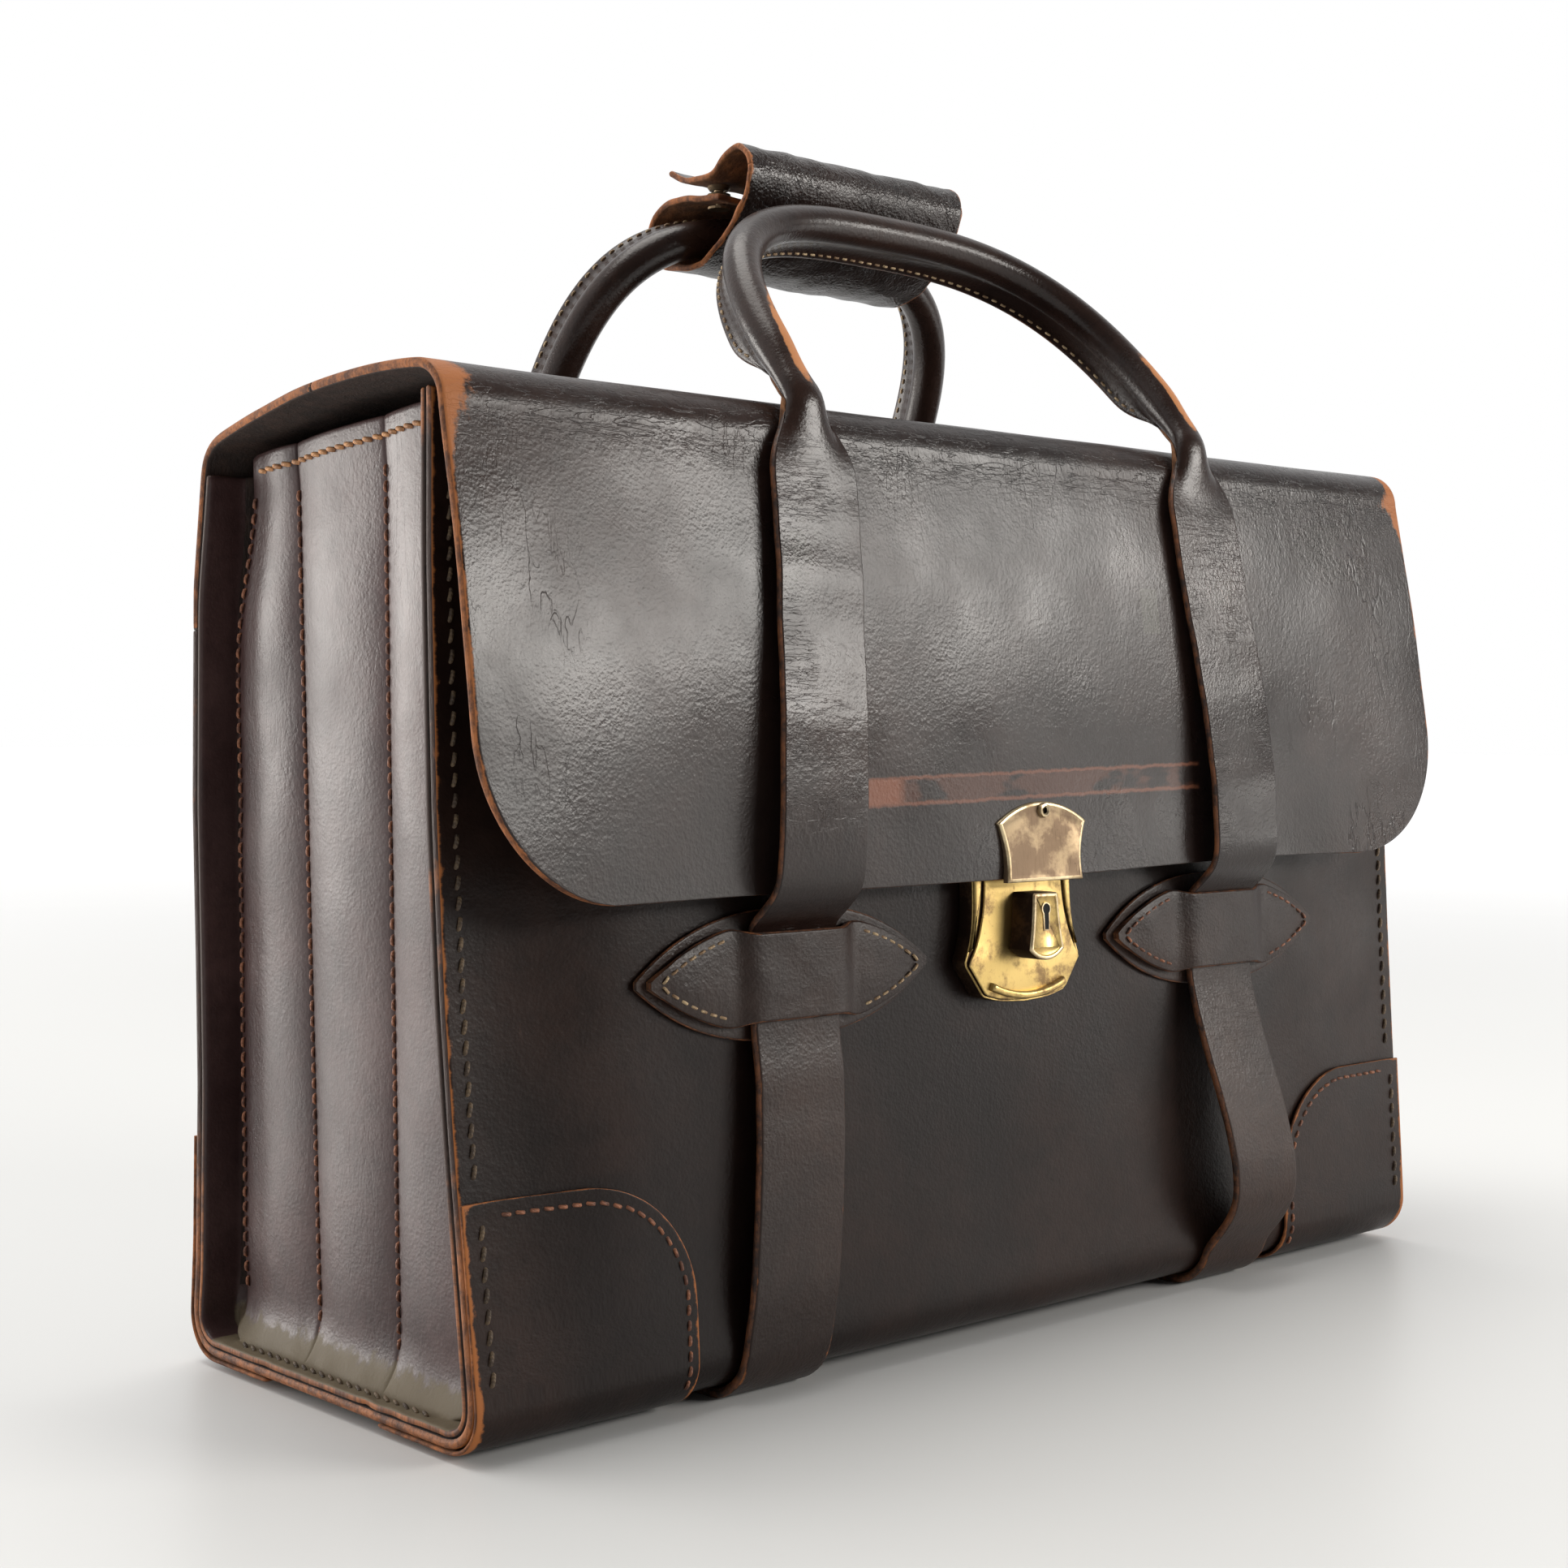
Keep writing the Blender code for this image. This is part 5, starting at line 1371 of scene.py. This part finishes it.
def make_hasp():
    low, shoulder, crown = 0.1527, 0.1725, 0.1795
    half_low, half_high = 0.0190, 0.0225
    sagitta = crown - shoulder
    radius = (half_high ** 2 + sagitta ** 2) / (2 * sagitta)
    spread_angle = math.degrees(math.asin(half_high / radius))
    head = arc((0, crown - radius), radius, 90, 90 - spread_angle, 12)
    side = [(half_high - 0.0009 - 0.0015 * math.sin(math.pi * t) - (half_high - half_low - 0.0009) * t,
             shoulder - 0.0008 - (shoulder - low - 0.0008) * t) for t in np.linspace(0, 1, 8)]
    outline = mirror_outline(head + side)
    depth = 0.0026
    steps = [(0.0, GAP, 0), (0.0, GAP + depth - 0.0007, 0), (0.0002, GAP + depth - 0.00025, 1),
             (0.0006, GAP + depth, 1), (0.0013, GAP + depth, 1), (0.0018, GAP + depth - 0.00015, 0)]
    stacked("hasp_plate_fine", outline, steps, on_flap, [NICKEL, PALE_METAL],
            "flap_fall",
            ("hasp_plate",))
    face = flap_face(0.1787)
    # The rivet's bore takes the near black material: painted shade.
    turned("hasp_rivet_fine", [(0.0, -0.0022), (0.0011, -0.0022), (0.0011, -0.0040), (0.0016, -0.0044),
                               (0.0022, -0.0042), (0.0025, -0.0036), (0.0025, -0.0028)],
           (0.0012, face, 0.1787), (0, 1, 0), [PALE_METAL,
                                               HOLE_SHADE], "flap_fall", ("hasp_rivet",),
           picks=[1, 1, 0, 0, 0, 0])


def make_lock():
    case = fine([(0.0240, 0.158), (0.0241, 0.1470), (0.0247, 0.1395), (0.0262, 0.1330),
                 (0.0287, 0.1268)], 5)
    foot = [(0.0284, 0.1252),
            (0.0210, 0.1154)] + fine([(0.0200, 0.1146), (0.0120, 0.1128), (0.0, 0.1120)], 4)
    outline = mirror_outline(case + foot)
    depth = CASE_DEPTH
    base = depth - 0.0012
    # The case's side walls, its inner ledge and its cap take the darker brass copy: painted shade.
    stacked("lock_case_base", outline,
            [(0.0, GAP, 0), (0.0, base - 0.0003, 0), (0.0002, base, 1), (0.0006, base, 1),
             (0.0010, base, 0)],
            on_panel, [SHADED_BRASS, BRASS], "shell", ("lock_case",), cap_mat=0)
    shield = fine([(0.0190, 0.1578), (0.0194, 0.1500), (0.0204, 0.1430), (0.0222, 0.1365),
                   (0.0245, 0.1312),
                   (0.0272, 0.1270)], 4)
    low = [(0.0276, 0.1256),
           (0.0206, 0.1162)] + fine([(0.0192, 0.1152), (0.0120, 0.1136), (0.0, 0.1128)], 4)
    # The shield's side walls take the darker brass copy: painted shade.
    rise = [(0.0, base - 0.0005, 1), (0.0, depth - 0.0004, 1), (0.00015, depth - 0.0001, 0),
            (0.0005, depth, 0)]
    stacked("lock_case_shield", mirror_outline(shield + low), rise, on_panel, [BRASS, SHADED_BRASS],
            "shell")
    for end, name in ENDS.items():
        outer = [(x - 0.0002, z - 0.0004) for x, z in case[:-3]]
        inner = [(x + 0.0016, z) for x, z in shield if z > outer[-1][1] + 0.0045]
        strip = outer + inner[::-1]
        strip = [(end * x, z) for x, z in strip]
        if end > 0:
            strip = strip[::-1]
        stacked(f"lock_case_{name}_rail", strip, [(0.0, base - 0.0005, 0), (0.0, depth - 0.0004, 0),
                                                  (0.0002, depth - 0.0001, 0), (0.0006, depth, 0)],
                on_panel, [BRASS], "shell")
    lip = arc((0, 0.1600), 0.0442, 246.5, 293.5, 24) + arc((0, 0.1600), 0.0468, 293.5, 246.5, 24)
    stacked("lock_lip", lip[::-1],
            [(0.0, depth - 0.0006, 0), (0.0, depth + 0.0013, 0), (0.0003, depth + 0.0019, 0),
                                    (0.0008, depth + 0.0022, 0)], on_panel, [BRASS], "shell")
    make_slide()


def make_slide():
    low = CASE_DEPTH + GAP
    top = low + 0.0097
    centre, radius = (0, 0.1385), 0.0118
    foot = arc(centre, radius, 316, 270, 10)
    right = [(0.0054, 0.1492),
             (0.0060, 0.1487)] + fine([(0.0062, 0.1470), (0.0066, 0.1420), (0.0074, 0.1360),
                                                         (0.0085, 0.1306)], 3)[:-1] + foot[:-1]
    outline = mirror_outline(right + [(0.0, centre[1] - radius)])
    # The slide's side walls take the darker brass copy: painted shade.
    steps = [(0.0, low, 1), (0.0, top - 0.0007, 1), (0.0002, top - 0.0002, 2), (0.0006, top, 2),
             (0.0012, top, 2), (0.0015, top - 0.0002, 0), (0.0018, top - 0.00045, 0)]
    obj = stacked("lock_slide_fine", outline, steps, on_panel, [BRASS, SHADED_BRASS, PALE_METAL],
                  "thumb_slide", ("lock_slide",))
    # The keyhole's inside is capped in near black: painted shade.
    hole = arc((0, 0.1438), 0.0016, -52, 232, 18) + [(-0.0008, 0.1372), (0.0008, 0.1372)]
    stacked("keyhole_rim", hole, [(-0.0007, top - 0.0005, 0), (-0.0006, top - 0.00015, 0),
                                  (-0.0002, top - 0.0001, 0), (0.0, top - 0.0002, 1)],
            on_panel, [PALE_METAL, HOLE_SHADE], "thumb_slide", cap_mat=1)
    return obj


def make_spring(turns=6, per_turn=14, sides=8):
    """The slide's return spring, one fixed coil of wire."""
    low, high, radius, wire = 0.1142, 0.1320, 0.0017, 0.0003
    up = Vector((0, 0, 1))
    points, faces = [], []
    for i in range(turns * per_turn + 1):
        turn = 2 * math.pi * i / per_turn
        z = low + (high - low) * i / (turns * per_turn)
        outward = Vector((math.cos(turn), math.sin(turn), 0))
        centre = Vector((0, wall(-1, z, 0.0042), z)) + outward * radius
        points += [centre + (outward * math.cos(a) + up * math.sin(a)) * wire
                   for a in (2 * math.pi * k / sides for k in range(sides))]
        if i:
            base = len(points) - 2 * sides
            faces += [(base + k, base + k + sides, base + (k + 1) % sides + sides,
                       base + (k + 1) % sides)
                      for k in range(sides)]
    faces += [tuple(range(sides)), tuple(range(len(points) - 1, len(points) - 1 - sides, -1))]
    mesh = bpy.data.meshes.new("slide_spring_fine")
    mesh.from_pydata([list(p) for p in points], [], faces)
    obj = link("slide_spring_fine", mesh, [STEEL], 0)
    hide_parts("slide_spring")
    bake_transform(obj)


def make_snaps():
    for x, name in ((-0.044, "left"), (0.044, "right")):
        turned(f"snap_cap_{name}_fine",
               [(0.0, 0.0021), (0.0020, 0.0020), (0.0034, 0.0016), (0.0042, 0.0009),
                                         (0.0044, 0.0003), (0.0042, 0.0), (0.0, 0.0)],
               (x, 0.031, 0.4020), (0, 0,
                                    1), [NICKEL], "wrap_flap", (f"snap_cap_{name}",))
        turned(f"snap_socket_{name}_fine",
               [(0.0013, 0.0), (0.0040, 0.0), (0.0041, -0.0008), (0.0034, -0.0018),
                                            (0.0024, -0.0018), (0.0020, -0.0010), (0.0013, -0.0010)],
               (x, 0.031, 0.3988), (0, 0,
                                    1), [NICKEL], "wrap_flap", (f"snap_socket_{name}",))
        turned(f"snap_stud_{name}_fine",
               [(0.0013, 0.0), (0.0042, 0.0), (0.0041, 0.0005), (0.0024, 0.0009),
                                          (0.0017, 0.0013), (0.0019, 0.0019), (0.0015,
                                                                               0.0023), (0.0, 0.0024)],
               (x, 0.031, 0.3953), (0, 0,
                                    1), [NICKEL], "rear_grip", (f"snap_stud_{name}",))


def paint_cad():
    """Fine materials for the CAD nodes that stay."""
    looks = {"steel": STEEL, "nickel_brass": NICKEL, "brass": BRASS, "handle_rope": ROPE}
    for part in frame["record"]["subparts"]:
        obj = frame["nodes"][part["node"]]
        if obj.hide_render or part["material_slot"] not in looks:
            continue
        for place in obj.material_slots:
            place.material = looks[part["material_slot"]]


# ---------------------------------------------------------------- studio
WARM = (1.0, 0.965, 0.915)


def area_light(name, place, target, size, radiance):
    """A soft box. Its power follows from its size and the brightness of its face."""
    data = bpy.data.lights.new(name, "AREA")
    data.shape = "RECTANGLE"
    data.size, data.size_y = size
    data.energy = radiance * math.pi * size[0] * size[1]
    data.color = WARM
    obj = bpy.data.objects.new(name, data)
    obj.location = place
    obj.rotation_euler = (Vector(target) - Vector(place)).to_track_quat("-Z", "Y").to_euler()
    obj.visible_camera = False
    bpy.context.scene.collection.objects.link(obj)


def make_floor():
    paint = Paint("floor_look")
    at = paint.solid()
    away = paint.node("ShaderNodeVectorMath", {0: at}, operation="LENGTH").outputs["Value"]
    # Painted light: the floor grows paler with distance.
    painted_far_light = paint.mix(paint.step(away, 0.5, 3.0), (0.68, 0.685, 0.68), (0.93, 0.93, 0.93))
    soft = paint.mix(paint.math("MULTIPLY", paint.noise(at, 2.0, 2.0), 0.10), painted_far_light, (0.50, 0.50, 0.50))
    floor = paint.finish(soft, 0.40, Specular_IOR_Level=0.4, Emission_Color=(1.0, 1.0, 1.0, 1.0))
    # Painted light: the floor glows more with distance, though it is no lamp, so that it fades into the white
    # backdrop.
    paint.feed(paint.shader.inputs["Emission Strength"], paint.step(away, 0.7, 3.5, (0.0, 0.36)))
    mesh = bpy.data.meshes.new("studio_floor")
    reach = 12.0
    mesh.from_pydata([(-reach, -reach, 0), (reach, -reach, 0), (reach, reach, 0),
                      (-reach, reach, 0)], [],
                     [(0, 1, 2, 3)])
    mesh.materials.append(floor)
    obj = bpy.data.objects.new("studio_floor", mesh)
    bpy.context.scene.collection.objects.link(obj)


def make_world():
    """A white studio whose front side is dimmer than its lit back wall."""
    world = bpy.data.worlds.new("studio")
    bpy.context.scene.world = world
    world.use_nodes = True
    tree = world.node_tree
    place = tree.nodes.new("ShaderNodeTexCoord")
    apart = tree.nodes.new("ShaderNodeSeparateXYZ")
    tree.links.new(place.outputs["Generated"], apart.inputs[0])
    ramp = tree.nodes.new("ShaderNodeMapRange")
    ramp.interpolation_type = "SMOOTHSTEP"
    ramp.inputs["From Min"].default_value, ramp.inputs["From Max"].default_value = -0.6, 0.25
    ramp.inputs["To Min"].default_value, ramp.inputs["To Max"].default_value = 0.12, 1.0
    tree.links.new(apart.outputs["Y"], ramp.inputs["Value"])
    shade = tree.nodes["Background"]
    shade.inputs["Color"].default_value = (1.0, 1.0, 1.0, 1.0)
    tree.links.new(ramp.outputs[0], shade.inputs["Strength"])


def make_studio():
    make_floor()
    make_world()
    area_light("box_front_right", (1.18, -1.63, 0.80), (0, 0, 0.22), (1.22, 0.44), 18.5)
    area_light("box_low_right", (1.56, -1.17, 0.16), (0, 0, 0.12), (0.60, 0.20), 6.0)
    area_light("box_back_left", (-1.25, 1.75, 0.36), (0, 0, 0.15), (1.2, 0.66), 8.5)
    area_light("card_left", (-0.52, 0.44, 0.004), (-0.52, 0.44, 1.0), (0.50, 0.50), 2.0)
    area_light("box_top", (-0.2, 0.3, 2.1), (0, 0, 0.2), (1.5, 1.2), 4.5)
    bpy.context.scene.view_settings.view_transform = "Standard"


def make_camera():
    data = bpy.data.cameras.new("camera")
    data.sensor_width = 36.0
    data.lens = 55.36
    obj = bpy.data.objects.new("camera", data)
    azimuth, elevation, roll = math.radians(-42.79), math.radians(1.66), math.radians(0.38)
    back = Vector((math.sin(azimuth) * math.cos(elevation), -math.cos(azimuth) * math.cos(elevation),
                   math.sin(elevation)))
    obj.location = (-0.6148, -0.6219, 0.2105)
    turn = (-back).to_track_quat("-Z", "Y").to_matrix().to_4x4()
    obj.rotation_euler = turn.to_euler()
    obj.rotation_euler.rotate_axis("Z", roll)
    bpy.context.scene.collection.objects.link(obj)
    bpy.context.scene.camera = obj


make_camera()
make_studio()
make_body()
make_flap()
make_patches()
make_panel_seams()
for end, name in ENDS.items():
    make_gusset(end, f"{name}_gusset_hide")
    make_gusset_stitches(end)
make_dividers()
make_keepers()
make_lower_strap(-1, 0.0850)
make_lower_strap(1, 0.0945)
for side in SIDES:
    make_handle(side)
make_grip_wrap()
make_hasp()
make_lock()
make_spring()
make_snaps()
paint_cad()
